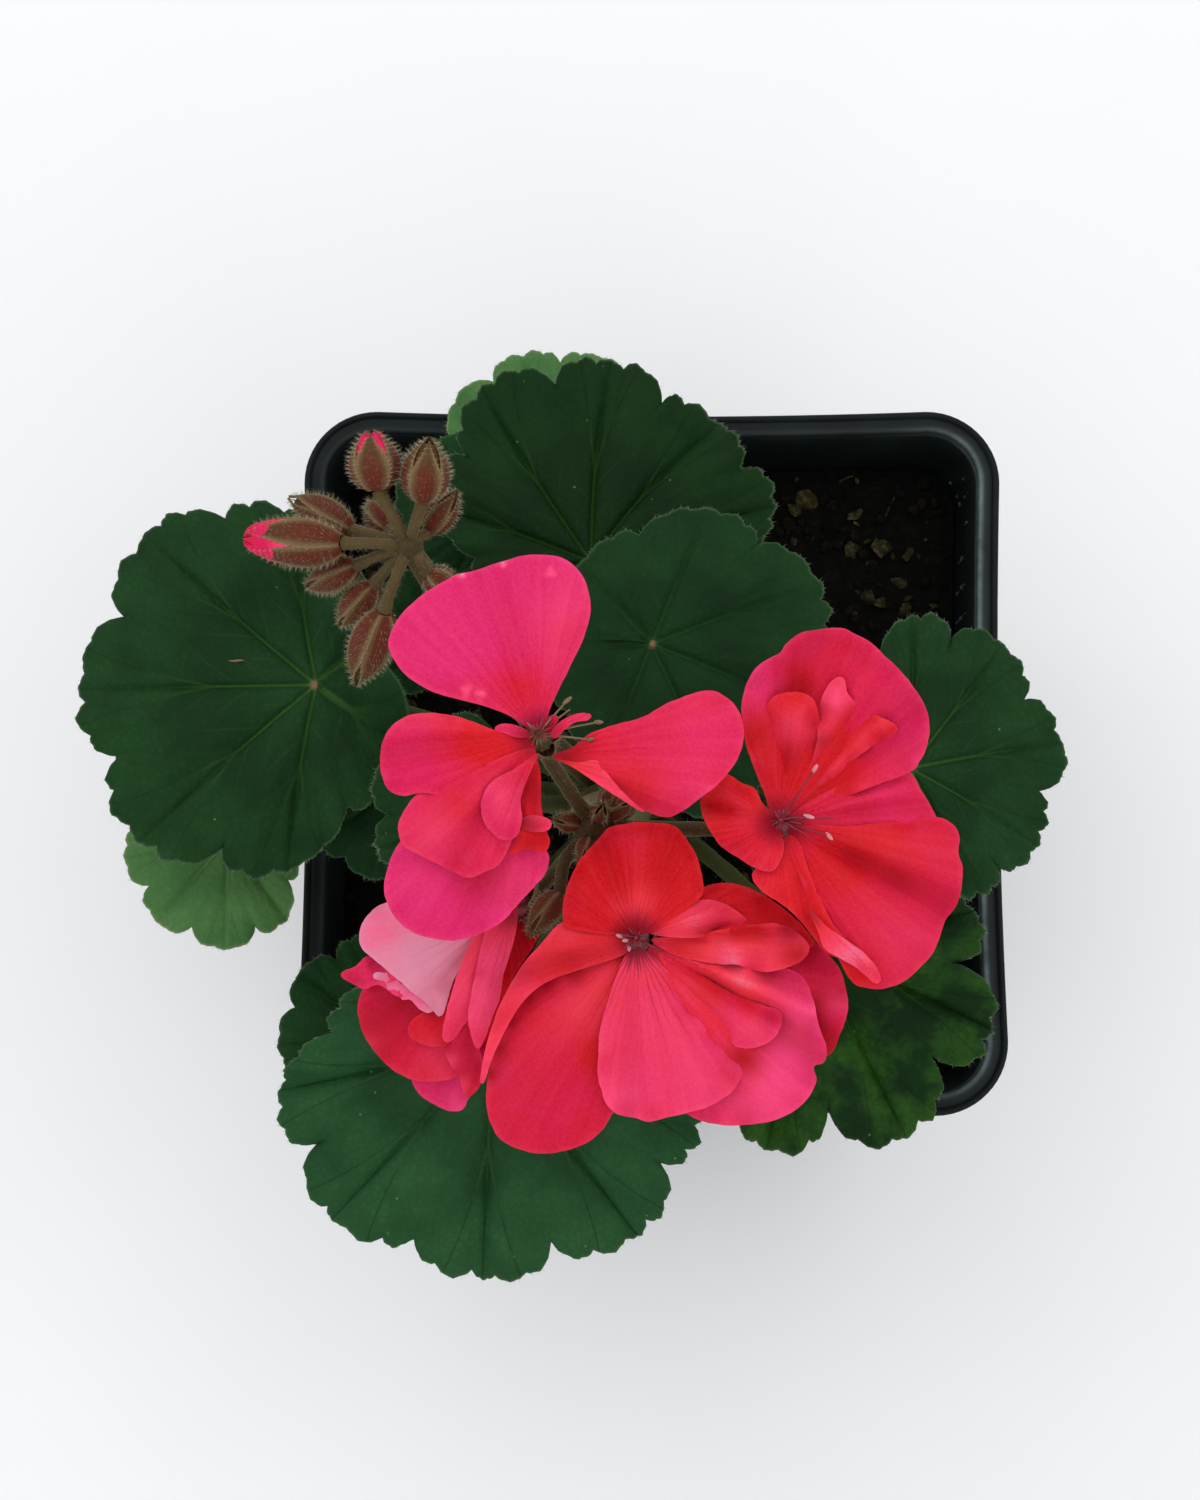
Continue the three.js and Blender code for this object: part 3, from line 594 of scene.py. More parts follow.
@dataclass(frozen=True)
class LeafTissue:
    """Living leaf of a zonal geranium: matt and velvety, with pale ribs that fade towards the margin into
    painted shade along their furrows.

    coords holds the distance to the nearest rib or fork of one over the rib's half width, the side
    veins' phase and the distance to the margin in mm. tone holds the share of the reach, the strength
    of the lighter patches and the strength of the side veins.
    """

    name: str
    deep: str = "#0f2f11"
    light: str = "#1f4521"
    # The leaf's dark zone colour, also used as painted shade in the grooves between the pebbled cells
    zone_and_cell_shade: str = "#0b200c"
    rib: str = "#456b2c"
    patch: str = "#28520f"
    margin: str = "#48603f"
    joint: str = "#8a6a50"
    # Painted shade colour for the sunken veins of the outer blade
    furrow: str = "#091a0b"
    speck: str = "#8c9c7c"
    rib_strength: float = 0.55
    furrow_shade_strength: float = 0.22
    mottle_mm: float = 9.0
    cell_mm: float = 1.2
    speck_mm: float = 4.5
    patch_mm: float = 9.0
    roughness: float = 0.62

    def material(self) -> bpy.types.Material:
        """Greens that drift over the blade, veins drawn from the blade's own numbers, fine pebbling, with
        painted shade in the outer vein furrows and between the pebbles.
        """
        material, tree, output = new_material(self.name)
        place_mm = texture_place(tree)
        coords = stored(tree, "coords")
        tone = stored(tree, "tone")
        mottle = add_node(tree, "ShaderNodeTexNoise",
                          {"Vector": place_mm, "Scale": 1 / self.mottle_mm, "Detail": 3.0, "Roughness": 0.55})
        cells = add_node(tree, "ShaderNodeTexVoronoi", {"Vector": place_mm, "Scale": 1 / self.cell_mm},
                         feature="DISTANCE_TO_EDGE")
        base_share = add_node(tree, "ShaderNodeMapRange", {"Value": mottle, "From Min": 0.2, "From Max": 0.8})
        base = add_node(tree, "ShaderNodeMix",
                        {MIX_FACTOR: base_share, MIX_A: rgba(self.deep), MIX_B: rgba(self.light)},
                        data_type="RGBA")
        ring_place = add_node(tree, "ShaderNodeMath", {0: mottle, 1: 0.35, 2: tone[0]},
                              operation="MULTIPLY_ADD")
        ring_far = add_node(tree, "ShaderNodeMath", {0: ring_place, 1: 0.62}, operation="SUBTRACT")
        ring_away = add_node(tree, "ShaderNodeMath", {0: ring_far}, operation="ABSOLUTE")
        ring = add_node(tree, "ShaderNodeMapRange",
                        {"Value": ring_away, "From Min": 0.03, "From Max": 0.26, "To Min": 0.4,
                         "To Max": 0.0}, interpolation_type="SMOOTHSTEP")
        blotch = add_node(tree, "ShaderNodeTexNoise",
                          {"Vector": place_mm, "Scale": 1 / self.patch_mm, "Detail": 5.0, "Roughness": 0.65})
        blotch_edge = add_node(tree, "ShaderNodeMapRange",
                               {"Value": blotch, "From Min": 0.42, "From Max": 0.6})
        blotch_share = add_node(tree, "ShaderNodeMath", {0: blotch_edge, 1: tone[1]}, operation="MULTIPLY")
        # Painted shade: the zone colour darkens the grooves between the pebbled cells
        cell_shade_share = add_node(tree, "ShaderNodeMapRange",
                              {"Value": cells, "From Min": 0.0, "From Max": 0.3, "To Min": 0.24,
                               "To Max": 0.0})
        side_wave = add_node(tree, "ShaderNodeMath", {0: coords[1], 1: 0.5}, operation="PINGPONG")
        side_line = add_node(tree, "ShaderNodeMapRange",
                             {"Value": side_wave, "From Min": 0.0, "From Max": 0.07, "To Min": 0.1,
                              "To Max": 0.0}, interpolation_type="SMOOTHSTEP")
        side_share = add_node(tree, "ShaderNodeMath", {0: side_line, 1: tone[2]}, operation="MULTIPLY")
        rib_away = add_node(tree, "ShaderNodeMath", {0: coords[0]}, operation="ABSOLUTE")
        rib_line = add_node(tree, "ShaderNodeMapRange",
                            {"Value": rib_away, "From Min": 0.25, "From Max": 1.0, "To Min": 1.0,
                             "To Max": 0.0}, interpolation_type="SMOOTHSTEP")
        # Painted shade: towards the margin the veins change from the pale rib colour to the dark furrow
        # colour, standing in for shade in the sunken furrows
        rib_fade = add_node(tree, "ShaderNodeMapRange",
                            {"Value": tone[0], "From Min": 0.04, "From Max": 0.5, "To Min": self.rib_strength,
                             "To Max": self.furrow_shade_strength})
        rib_share = add_node(tree, "ShaderNodeMath", {0: rib_line, 1: rib_fade}, operation="MULTIPLY")
        vein_share = add_node(tree, "ShaderNodeMath", {0: rib_share, 1: side_share}, operation="MAXIMUM")
        furrow_shade_share = add_node(tree, "ShaderNodeMapRange",
                                {"Value": tone[0], "From Min": 0.4, "From Max": 0.75})
        rib_and_furrow_shade_colour = add_node(tree, "ShaderNodeMix",
                              {MIX_FACTOR: furrow_shade_share, MIX_A: rgba(self.rib), MIX_B: rgba(self.furrow)},
                              data_type="RGBA")
        joint_share = add_node(tree, "ShaderNodeMapRange",
                               {"Value": tone[0], "From Min": 0.01, "From Max": 0.032, "To Min": 0.8,
                                "To Max": 0.0}, interpolation_type="SMOOTHSTEP")
        margin_share = add_node(tree, "ShaderNodeMapRange",
                                {"Value": coords[2], "From Min": 0.0, "From Max": 0.55, "To Min": 0.55,
                                 "To Max": 0.0}, interpolation_type="SMOOTHSTEP")
        grit = add_node(tree, "ShaderNodeTexVoronoi", {"Vector": place_mm, "Scale": 1 / self.speck_mm})
        grit_share = add_node(tree, "ShaderNodeMapRange",
                              {"Value": grit, "From Min": 0.02, "From Max": 0.05, "To Min": 0.4,
                               "To Max": 0.0})
        colour = base
        for share, tint in (
            (ring, rgba(self.zone_and_cell_shade)), (blotch_share, rgba(self.patch)), (cell_shade_share, rgba(self.zone_and_cell_shade)),
            (vein_share, rib_and_furrow_shade_colour), (joint_share, rgba(self.joint)), (margin_share, rgba(self.margin)),
            (grit_share, rgba(self.speck)),
        ):
            colour = add_node(tree, "ShaderNodeMix", {MIX_FACTOR: share, MIX_A: colour, MIX_B: tint},
                              data_type="RGBA")
        relief = add_node(tree, "ShaderNodeMath", {0: vein_share, 1: -0.6, 2: cells},
                          operation="MULTIPLY_ADD")
        bump = add_node(tree, "ShaderNodeBump", {"Height": relief, "Strength": 0.7, "Distance": 0.22 * MM})
        surface = add_node(tree, "ShaderNodeBsdfPrincipled",
                           {"Base Color": colour, "Roughness": self.roughness, "Specular IOR Level": 0.08,
                            "Normal": bump})
        tree.links.new(surface.outputs[0], output.inputs[0])
        return material


@dataclass(frozen=True)
class DownySkin:
    """Young plant skin under short down: brown-green, paler where the down is seen edge on.

    tone holds the share of the second colour, the share of the pale edge and the share of red.
    """

    name: str
    base: str = "#4c4024"
    second: str = "#5e6a32"
    edge: str = "#a18f62"
    red: str = "#5f2520"
    down: str = "#d2c6a0"
    grain_mm: float = 0.8
    streak_mm: float = 3.0
    roughness: float = 0.7
    sheen: float = 0.3

    def material(self) -> bpy.types.Material:
        """Mottled skin with a dry sheen, so that it looks soft and not varnished."""
        material, tree, output = new_material(self.name)
        place_mm = texture_place(tree)
        tone = stored(tree, "tone")
        grain = add_node(tree, "ShaderNodeTexNoise",
                         {"Vector": place_mm, "Scale": 1 / self.grain_mm, "Detail": 4.0, "Roughness": 0.6})
        streak = add_node(tree, "ShaderNodeTexNoise",
                          {"Vector": place_mm, "Scale": 1 / self.streak_mm, "Detail": 2.0})
        second = add_node(tree, "ShaderNodeMix",
                          {MIX_FACTOR: tone[0], MIX_A: rgba(self.base), MIX_B: rgba(self.second)},
                          data_type="RGBA")
        red_share = add_node(tree, "ShaderNodeMath", {0: streak, 1: 0.35}, operation="ADD")
        red_amount = add_node(tree, "ShaderNodeMath", {0: red_share, 1: tone[2]}, operation="MULTIPLY",
                              use_clamp=True)
        fleck = add_node(tree, "ShaderNodeMapRange",
                         {"Value": grain, "From Min": 0.52, "From Max": 0.8, "To Min": 0.0, "To Max": 0.2})
        colour = second
        for share, tint in (
            (red_amount, rgba(self.red)), (tone[1], rgba(self.edge)), (fleck, rgba(self.edge)),
        ):
            colour = add_node(tree, "ShaderNodeMix", {MIX_FACTOR: share, MIX_A: colour, MIX_B: tint},
                              data_type="RGBA")
        bump = add_node(tree, "ShaderNodeBump", {"Height": grain, "Strength": 0.5, "Distance": 0.15 * MM})
        surface = add_node(tree, "ShaderNodeBsdfPrincipled",
                           {"Base Color": colour, "Roughness": self.roughness, "Specular IOR Level": 0.12,
                            "Sheen Weight": self.sheen, "Sheen Roughness": 0.3, "Sheen Tint": rgba(self.down),
                            "Normal": bump})
        tree.links.new(surface.outputs[0], output.inputs[0])
        return material


@dataclass(frozen=True)
class PlantDown:
    """Simple hairs of the plant's skin: clear cells that catch the light as whitish threads."""

    name: str
    near: str = "#8f9478"
    far: str = "#d3d6c4"
    patch_mm: float = 2.5
    roughness: float = 0.5

    def material(self) -> bpy.types.Material:
        """Whitish threads with a little green or tan from what is under them."""
        material, tree, output = new_material(self.name)
        drift = add_node(tree, "ShaderNodeTexNoise",
                         {"Vector": texture_place(tree), "Scale": 1 / self.patch_mm})
        colour = add_node(tree, "ShaderNodeMix",
                          {MIX_FACTOR: drift, MIX_A: rgba(self.near), MIX_B: rgba(self.far)},
                          data_type="RGBA")
        surface = add_node(tree, "ShaderNodeBsdfPrincipled",
                           {"Base Color": colour, "Roughness": self.roughness})
        tree.links.new(surface.outputs[0], output.inputs[0])
        return material


@dataclass(frozen=True)
class PetalTissue:
    """Petal of a coral-pink geranium: silky, scarlet at the claw and rose towards the rim.

    coords holds the distance from the claw over 30 mm, the heading from it in radians and the
    share of painted shade that gathers in the folds. tone holds the share of scarlet, of pale colour,
    which also carries the painted highlights on the crests, and of the dark veins.
    """

    name: str
    rose: str = "#d41f62"
    scarlet: str = "#cc101a"
    # The next two are painted highlight colours for the rose and the scarlet parts
    highlight_rose: str = "#f44e80"
    coral: str = "#ee3c46"
    dusty: str = "#dc8aa2"
    vein: str = "#6c0416"
    # Dark claw colour, partly painted shade deep in the throat
    throat: str = "#480614"
    # Painted shade colour for the folds
    fold: str = "#9c0816"
    silk: str = "#ff7ca4"
    veins_per_radian: float = 9.0
    cloud_mm: float = 7.0
    papilla_mm: float = 0.4
    roughness: float = 0.6
    sheen: float = 0.02

    def material(self) -> bpy.types.Material:
        """Rose and scarlet drifting into each other, fine darker veins fanning out, painted highlights and
        shade.
        """
        material, tree, output = new_material(self.name)
        place_mm = texture_place(tree)
        coords = stored(tree, "coords")
        tone = stored(tree, "tone")
        cloud = add_node(tree, "ShaderNodeTexNoise",
                         {"Vector": place_mm, "Scale": 1 / self.cloud_mm, "Detail": 2.0})
        drift = add_node(tree, "ShaderNodeMapRange",
                         {"Value": cloud, "From Min": 0.3, "From Max": 0.7, "To Min": -0.14, "To Max": 0.14})
        warm = add_node(tree, "ShaderNodeMath", {0: tone[0], 1: drift}, operation="ADD", use_clamp=True)
        body = add_node(tree, "ShaderNodeMix",
                        {MIX_FACTOR: warm, MIX_A: rgba(self.rose), MIX_B: rgba(self.scarlet)},
                        data_type="RGBA")
        fan = add_node(tree, "ShaderNodeMath", {0: coords[1], 1: 16.0}, operation="MULTIPLY")
        fan_place = add_node(tree, "ShaderNodeCombineXYZ", {0: fan, 1: coords[0]})
        streak = add_node(tree, "ShaderNodeTexNoise", {"Vector": fan_place, "Scale": 1.0, "Detail": 2.0})
        streak_share = add_node(tree, "ShaderNodeMapRange",
                                {"Value": streak, "From Min": 0.4, "From Max": 0.75, "To Min": 0.0,
                                 "To Max": 0.09})
        papilla = add_node(tree, "ShaderNodeTexNoise",
                           {"Vector": place_mm, "Scale": 1 / self.papilla_mm, "Detail": 2.0})
        grain = add_node(tree, "ShaderNodeMapRange",
                         {"Value": papilla, "From Min": 0.35, "From Max": 0.65, "To Min": -0.03,
                          "To Max": 0.05})
        # Painted highlight: the crest paleness mixes in the lit highlight colours, and above one half it
        # turns to dusty pink
        streaked = add_node(tree, "ShaderNodeMath", {0: streak_share, 1: grain}, operation="ADD")
        paleness = add_node(tree, "ShaderNodeMath", {0: streaked, 1: tone[1]}, operation="ADD",
                            use_clamp=True)
        highlight_share = add_node(tree, "ShaderNodeMath", {0: paleness, 1: 2.0}, operation="MULTIPLY",
                                use_clamp=True)
        dusty_share = add_node(tree, "ShaderNodeMath", {0: paleness, 1: 2.0, 2: -1.0},
                               operation="MULTIPLY_ADD", use_clamp=True)
        lit = add_node(tree, "ShaderNodeMix",
                       {MIX_FACTOR: warm, MIX_A: rgba(self.highlight_rose), MIX_B: rgba(self.coral)},
                       data_type="RGBA")
        waver = add_node(tree, "ShaderNodeTexNoise", {"Vector": place_mm, "Scale": 0.3, "Detail": 3.0})
        phase = add_node(tree, "ShaderNodeMath", {0: coords[1], 1: self.veins_per_radian},
                         operation="MULTIPLY")
        wavered = add_node(tree, "ShaderNodeMath", {0: waver, 1: 1.1, 2: phase}, operation="MULTIPLY_ADD")
        wave = add_node(tree, "ShaderNodeMath", {0: wavered, 1: 0.5}, operation="PINGPONG")
        spread = add_node(tree, "ShaderNodeMath", {0: coords[0], 1: 3.0, 2: 0.6}, operation="MULTIPLY_ADD")
        thinned = add_node(tree, "ShaderNodeMath", {0: wave, 1: spread}, operation="MULTIPLY")
        line = add_node(tree, "ShaderNodeMapRange",
                        {"Value": thinned, "From Min": 0.0, "From Max": 0.2, "To Min": 1.0, "To Max": 0.0},
                        interpolation_type="SMOOTHSTEP")
        fade = add_node(tree, "ShaderNodeMapRange",
                        {"Value": coords[0], "From Min": 0.12, "From Max": 0.6, "To Min": 1.0, "To Max": 0.0})
        uneven = add_node(tree, "ShaderNodeMapRange",
                          {"Value": streak, "From Min": 0.3, "From Max": 0.65, "To Min": 1.0, "To Max": 0.1})
        faded = add_node(tree, "ShaderNodeMath", {0: uneven, 1: fade}, operation="MULTIPLY")
        line_share = add_node(tree, "ShaderNodeMath", {0: line, 1: faded}, operation="MULTIPLY")
        vein_share = add_node(tree, "ShaderNodeMath", {0: line_share, 1: tone[2]}, operation="MULTIPLY",
                              use_clamp=True)
        # Dark throat near the claw: partly the petal's own dark base, partly painted shade deep in the floret
        flare = add_node(tree, "ShaderNodeMapRange",
                         {"Value": streak, "From Min": 0.4, "From Max": 0.7, "To Min": 0.01, "To Max": -0.1})
        flared = add_node(tree, "ShaderNodeMath", {0: flare, 1: tone[2], 2: coords[0]},
                          operation="MULTIPLY_ADD")
        depth = add_node(tree, "ShaderNodeMapRange",
                         {"Value": flared, "From Min": 0.035, "From Max": 0.135, "To Min": 1.0,
                          "To Max": 0.0}, interpolation_type="SMOOTHSTEP")
        depth_share = add_node(tree, "ShaderNodeMath", {0: tone[2], 1: 0.55, 2: 0.3},
                               operation="MULTIPLY_ADD")
        throat_share = add_node(tree, "ShaderNodeMath", {0: depth, 1: depth_share}, operation="MULTIPLY")
        colour = body
        for share, tint in (
            (highlight_share, lit), (dusty_share, rgba(self.dusty)), (vein_share, rgba(self.vein)),
            (coords[2], rgba(self.fold)), (throat_share, rgba(self.throat)),
        ):
            colour = add_node(tree, "ShaderNodeMix", {MIX_FACTOR: share, MIX_A: colour, MIX_B: tint},
                              data_type="RGBA")
        relief = add_node(tree, "ShaderNodeMath", {0: line_share, 1: -0.7, 2: papilla},
                          operation="MULTIPLY_ADD")
        bump = add_node(tree, "ShaderNodeBump", {"Height": relief, "Strength": 0.25, "Distance": 0.12 * MM})
        surface = add_node(tree, "ShaderNodeBsdfPrincipled",
                           {"Base Color": colour, "Roughness": self.roughness, "Specular IOR Level": 0.06,
                            "Sheen Weight": self.sheen, "Sheen Roughness": 0.3, "Sheen Tint": rgba(self.silk),
                            "Normal": bump})
        tree.links.new(surface.outputs[0], output.inputs[0])
        return material


@dataclass(frozen=True)
class SoftPart:
    """Small fleshy parts of the floret's centre: filaments, styles and pollen sacs."""

    name: str
    first: str
    second: str
    patch_mm: float = 1.2
    roughness: float = 0.5

    def material(self) -> bpy.types.Material:
        """Two close colours in soft patches, with the dull gloss of moist tissue."""
        material, tree, output = new_material(self.name)
        patch = add_node(tree, "ShaderNodeTexNoise",
                         {"Vector": texture_place(tree), "Scale": 1 / self.patch_mm, "Detail": 2.0})
        colour = add_node(tree, "ShaderNodeMix",
                          {MIX_FACTOR: patch, MIX_A: rgba(self.first), MIX_B: rgba(self.second)},
                          data_type="RGBA")
        surface = add_node(tree, "ShaderNodeBsdfPrincipled",
                           {"Base Color": colour, "Roughness": self.roughness})
        tree.links.new(surface.outputs[0], output.inputs[0])
        return material


@dataclass(frozen=True)
class PaintedFloor:
    """Matt white studio board under the pot."""

    colour: str = "#f4f4f3"
    light: str = "#f7f7f7"
    speck_mm: float = 40.0

    def material(self) -> bpy.types.Material:
        """Even white with the faintest clouding."""
        material, tree, output = new_material("painted_board")
        cloud = add_node(tree, "ShaderNodeTexNoise",
                         {"Vector": texture_place(tree), "Scale": 1 / self.speck_mm})
        colour = add_node(tree, "ShaderNodeMix",
                          {MIX_FACTOR: cloud, MIX_A: rgba(self.colour), MIX_B: rgba(self.light)},
                          data_type="RGBA")
        surface = add_node(tree, "ShaderNodeBsdfPrincipled", {"Base Color": colour, "Roughness": 0.8})
        tree.links.new(surface.outputs[0], output.inputs[0])
        return material


class Finishes:
    """Every finish of the plant and its pot, made once."""

    def __init__(self) -> None:
        """Makes the materials."""
        self.pot = MouldedPolypropylene().material()
        self.peat = MilledPeat().material()
        self.crumb = MilledPeat("peat_crumb", "#0d0a06", "#2c2113", 1.1).material()
        self.lime = MilledPeat("lime_dust", "#2c3436", "#7c898c", 0.8).material()
        self.chip = MilledPeat("bark_chip", "#2a2612", "#6c6240", 1.2).material()
        self.fibre = MilledPeat("straw_fibre", "#2c2412", "#5a4f30", 0.6).material()
        self.stem = DownySkin("green_bark", "#4b4a28", "#5e6a34", "#8a8358", sheen=0.3).material()
        self.leaf = LeafTissue("mature_leaf_tissue").material()
        # Painted shade: a darker copy of the mature leaf for leaves that lie in shade
        self.painted_shade_leaf = LeafTissue(
            "shaded_leaf_tissue", "#0b260b", "#163614", "#091e0a", "#36591f", "#2a5216", furrow_shade_strength=0.35,
        ).material()
        self.quiet_leaf = LeafTissue(
            "upper_leaf_tissue", "#0e2c12", "#1b401e", "#0c240e", "#2f5825",
            rib_strength=0.34, furrow_shade_strength=0.08,
        ).material()
        # Painted light: a lighter, bluer copy of the mature leaf for a leaf in full light
        self.painted_light_leaf = LeafTissue(
            "sunlit_leaf_tissue", "#183d1e", "#2d5a33", "#133218", "#44693a", furrow_shade_strength=0.36,
        ).material()
        self.young = LeafTissue(
            "young_leaf_tissue", "#3a6638", "#5a8349", "#335e30", "#86a060", "#6b8a4a",
            margin="#7d9560", joint="#8a9a50", furrow_shade_strength=0.12,
        ).material()
        self.petiole = DownySkin("leaf_stalk_skin", "#2a3a18", "#33461c", "#5f6c3a", sheen=0.1).material()
        self.stalk = DownySkin("flower_stalk_skin", "#453a22", "#4a4a28", "#86744a", sheen=0.5).material()
        self.sepal = DownySkin(
            "sepal_skin", "#54341f", "#544728", "#8f7a54", "#642019", sheen=0.16,
        ).material()
        self.down = PlantDown("plant_down", "#6c6548", "#a09878").material()
        self.fuzz = PlantDown("bud_down", "#858060", "#c6c1a6").material()
        self.leaf_down = PlantDown("leaf_margin_down", "#4e6247", "#93a288").material()
        self.petal = PetalTissue("petal_tissue").material()
        self.filament = SoftPart("filament", "#96162c", "#5a0a1c").material()
        self.style = SoftPart("style_hairs", "#b87c88", "#6c1828", 0.5).material()
        self.pollen = SoftPart("pollen_sac", "#dba0a0", "#b85a68", 0.6).material()
        self.tan = SoftPart("dry_filament", "#5e482c", "#86694a").material()


@dataclass(frozen=True)
class PotShell:
    """The square pot: a thin tapering wall, a rolled rim with a hanging skirt and drain holes."""

    corner_steps: int = 14
    side_steps: int = 18

    def ring(self, inset: float, z: float) -> Array:
        """One ring of the wall.

        Args:
            inset: how far the ring lies inside the wall's outer face.
            z: the ring's height.

        Returns:
            The ring's points.
        """
        share = z / POT_HEIGHT
        half_x = POT_BASE / 2 + (POT_WIDTH / 2 - RIM_LEDGE - POT_BASE / 2) * share - inset
        half_y = half_x + (POT_DEPTH - POT_WIDTH) / 2 * share
        corner = max(2.0, POT_BASE_CORNER + (POT_CORNER - RIM_LEDGE - POT_BASE_CORNER) * share - inset)
        bow = SIDE_BOW * share
        points = []
        turns = ((1, 1), (-1, 1), (-1, -1), (1, -1))
        for k, (sx, sy) in enumerate(turns):
            angles = np.radians(90 * k + 90 * np.arange(self.corner_steps + 1) / self.corner_steps)
            arc = np.stack([sx * (half_x - corner) + corner * np.cos(angles),
                            sy * (half_y - corner) + corner * np.sin(angles)], axis=1)
            points.append(arc)
            nx, ny = turns[(k + 1) % 4]
            along_x = k % 2 == 0
            start = arc[-1]
            end = np.array(
                [nx * (half_x - corner), start[1]] if along_x else [start[0], ny * (half_y - corner)]
            )
            t = (np.arange(1, self.side_steps) / self.side_steps)[:, None]
            inward = np.array([0, -sy] if along_x else [-sx, 0])
            points.append(start + (end - start) * t + inward * bow * 4 * t * (1 - t))
        outline = np.vstack(points)
        return np.column_stack([outline, np.full(len(outline), z)])

    def profile(self) -> list[tuple[float, float]]:
        """Inset and height from the base's underside, over the rim and down inside."""
        skirt = POT_HEIGHT - RIM_SKIRT
        inner_skirt = RIM_SKIN - RIM_LEDGE
        lip = [
            (-RIM_LEDGE + 0.8 * (1 - math.cos(a)), POT_HEIGHT - 0.8 + 0.8 * math.sin(a))
            for a in np.radians([0, 25, 50, 75])
        ]
        inner_lip = [
            (0.35 - 0.55 * math.cos(a), POT_HEIGHT - 0.55 + 0.55 * math.sin(a))
            for a in np.radians([100, 125, 150, 175])
        ]
        outside = [(3.2, 0), (1.2, 0), (0.35, 0.35), (0, 1.2), (0, 2.5)]
        outside += [(0, z) for z in np.linspace(10, skirt, 10)] + [(0, POT_HEIGHT - 1.6)]
        hem = [(inner_skirt, POT_HEIGHT - 1.6), (inner_skirt, skirt + 0.4), (inner_skirt - 0.3, skirt),
               (0.3 - RIM_LEDGE, skirt), (-RIM_LEDGE, skirt + 0.4)]
        wall = [(-RIM_LEDGE, z) for z in np.linspace(skirt + 2, POT_HEIGHT - 1.2, 6)]
        inside = [(0.55 + 0.2 * k, POT_HEIGHT - 1.0 - 0.5 * k) for k in range(4)]
        inside += [(POT_WALL, z) for z in np.linspace(POT_HEIGHT - 3.2, POT_FLOOR + 1.2, 14)]
        inside += [(POT_WALL + 0.4, POT_FLOOR + 0.35), (POT_WALL + 1.2, POT_FLOOR)]
        inside += [(POT_WALL + 3.5, POT_FLOOR)]
        top = [(-1.75, POT_HEIGHT - 0.06), (-1.45, POT_HEIGHT - 0.32), (-1.25, POT_HEIGHT - 0.12),
               (-1.05, POT_HEIGHT), (-0.2, POT_HEIGHT)]
        return outside + hem + wall + lip + top + list(inner_lip) + inside

    def build(self, finishes: Finishes) -> bpy.types.Object:
        """Makes the shell, cuts its drain holes and dresses it."""
        profile = self.profile()
        rings = np.array([self.ring(inset, z) for inset, z in profile])
        tone = np.zeros_like(rings)
        # Painted highlight: pale along the inner lip, stronger towards the right side
        for k, (inset, z) in enumerate(profile):
            if z > POT_HEIGHT - 1.9:
                x, y = rings[k, :, 0], rings[k, :, 1]
                lip_highlight_side = 0.12 + 0.88 * rise(x / POT_WIDTH - 0.5 * np.abs(y / POT_DEPTH), 0.1, 0.3)
                tone[k, :, 0] = lip_highlight_side * math.exp(-(((inset - 0.4) / 0.42) ** 2))
        piece = Piece("pot_shell", Slot.POT, "pot")
        piece.add(loft(rings, tone=tone), finishes.pot)
        shell = piece.finish()
        cutters = []
        for sx in (-1, 1):
            for sy in (-1, 1):
                line = np.array([[sx * DRAIN_OFFSET, sy * DRAIN_OFFSET, z] for z in (-3.0, 1.0, 5.0)])
                skin = loft(tube_rings(line, np.full(3, DRAIN_RADIUS), 40)[0])
                mesh = bpy.data.meshes.new("drain")
                mesh.from_pydata((skin.points * MM).tolist(), [], [f for g in skin.faces for f in g.tolist()])
                cutter = bpy.data.objects.new("drain", mesh)
                bpy.context.scene.collection.objects.link(cutter)
                cutters.append(cutter)
                cut = shell.modifiers.new("drain", "BOOLEAN")
                cut.object = cutter
                cut.operation = "DIFFERENCE"
        graph = bpy.context.evaluated_depsgraph_get()
        cut_mesh = bpy.data.meshes.new_from_object(shell.evaluated_get(graph))
        shell.modifiers.clear()
        shell.data = cut_mesh
        # Carries the painted lip highlight over to the points of the cut mesh
        nearest = KDTree(tone.size // 3)
        for k, point in enumerate(rings.reshape(-1, 3) * MM):
            nearest.insert(point, k)
        nearest.balance()
        lip_highlight_amount = tone.reshape(-1, 3)[[nearest.find(vertex.co)[1] for vertex in cut_mesh.vertices]]
        cut_mesh.attributes["tone"].data.foreach_set("vector", lip_highlight_amount.ravel())
        for cutter in cutters:
            bpy.data.objects.remove(cutter)
        return shell


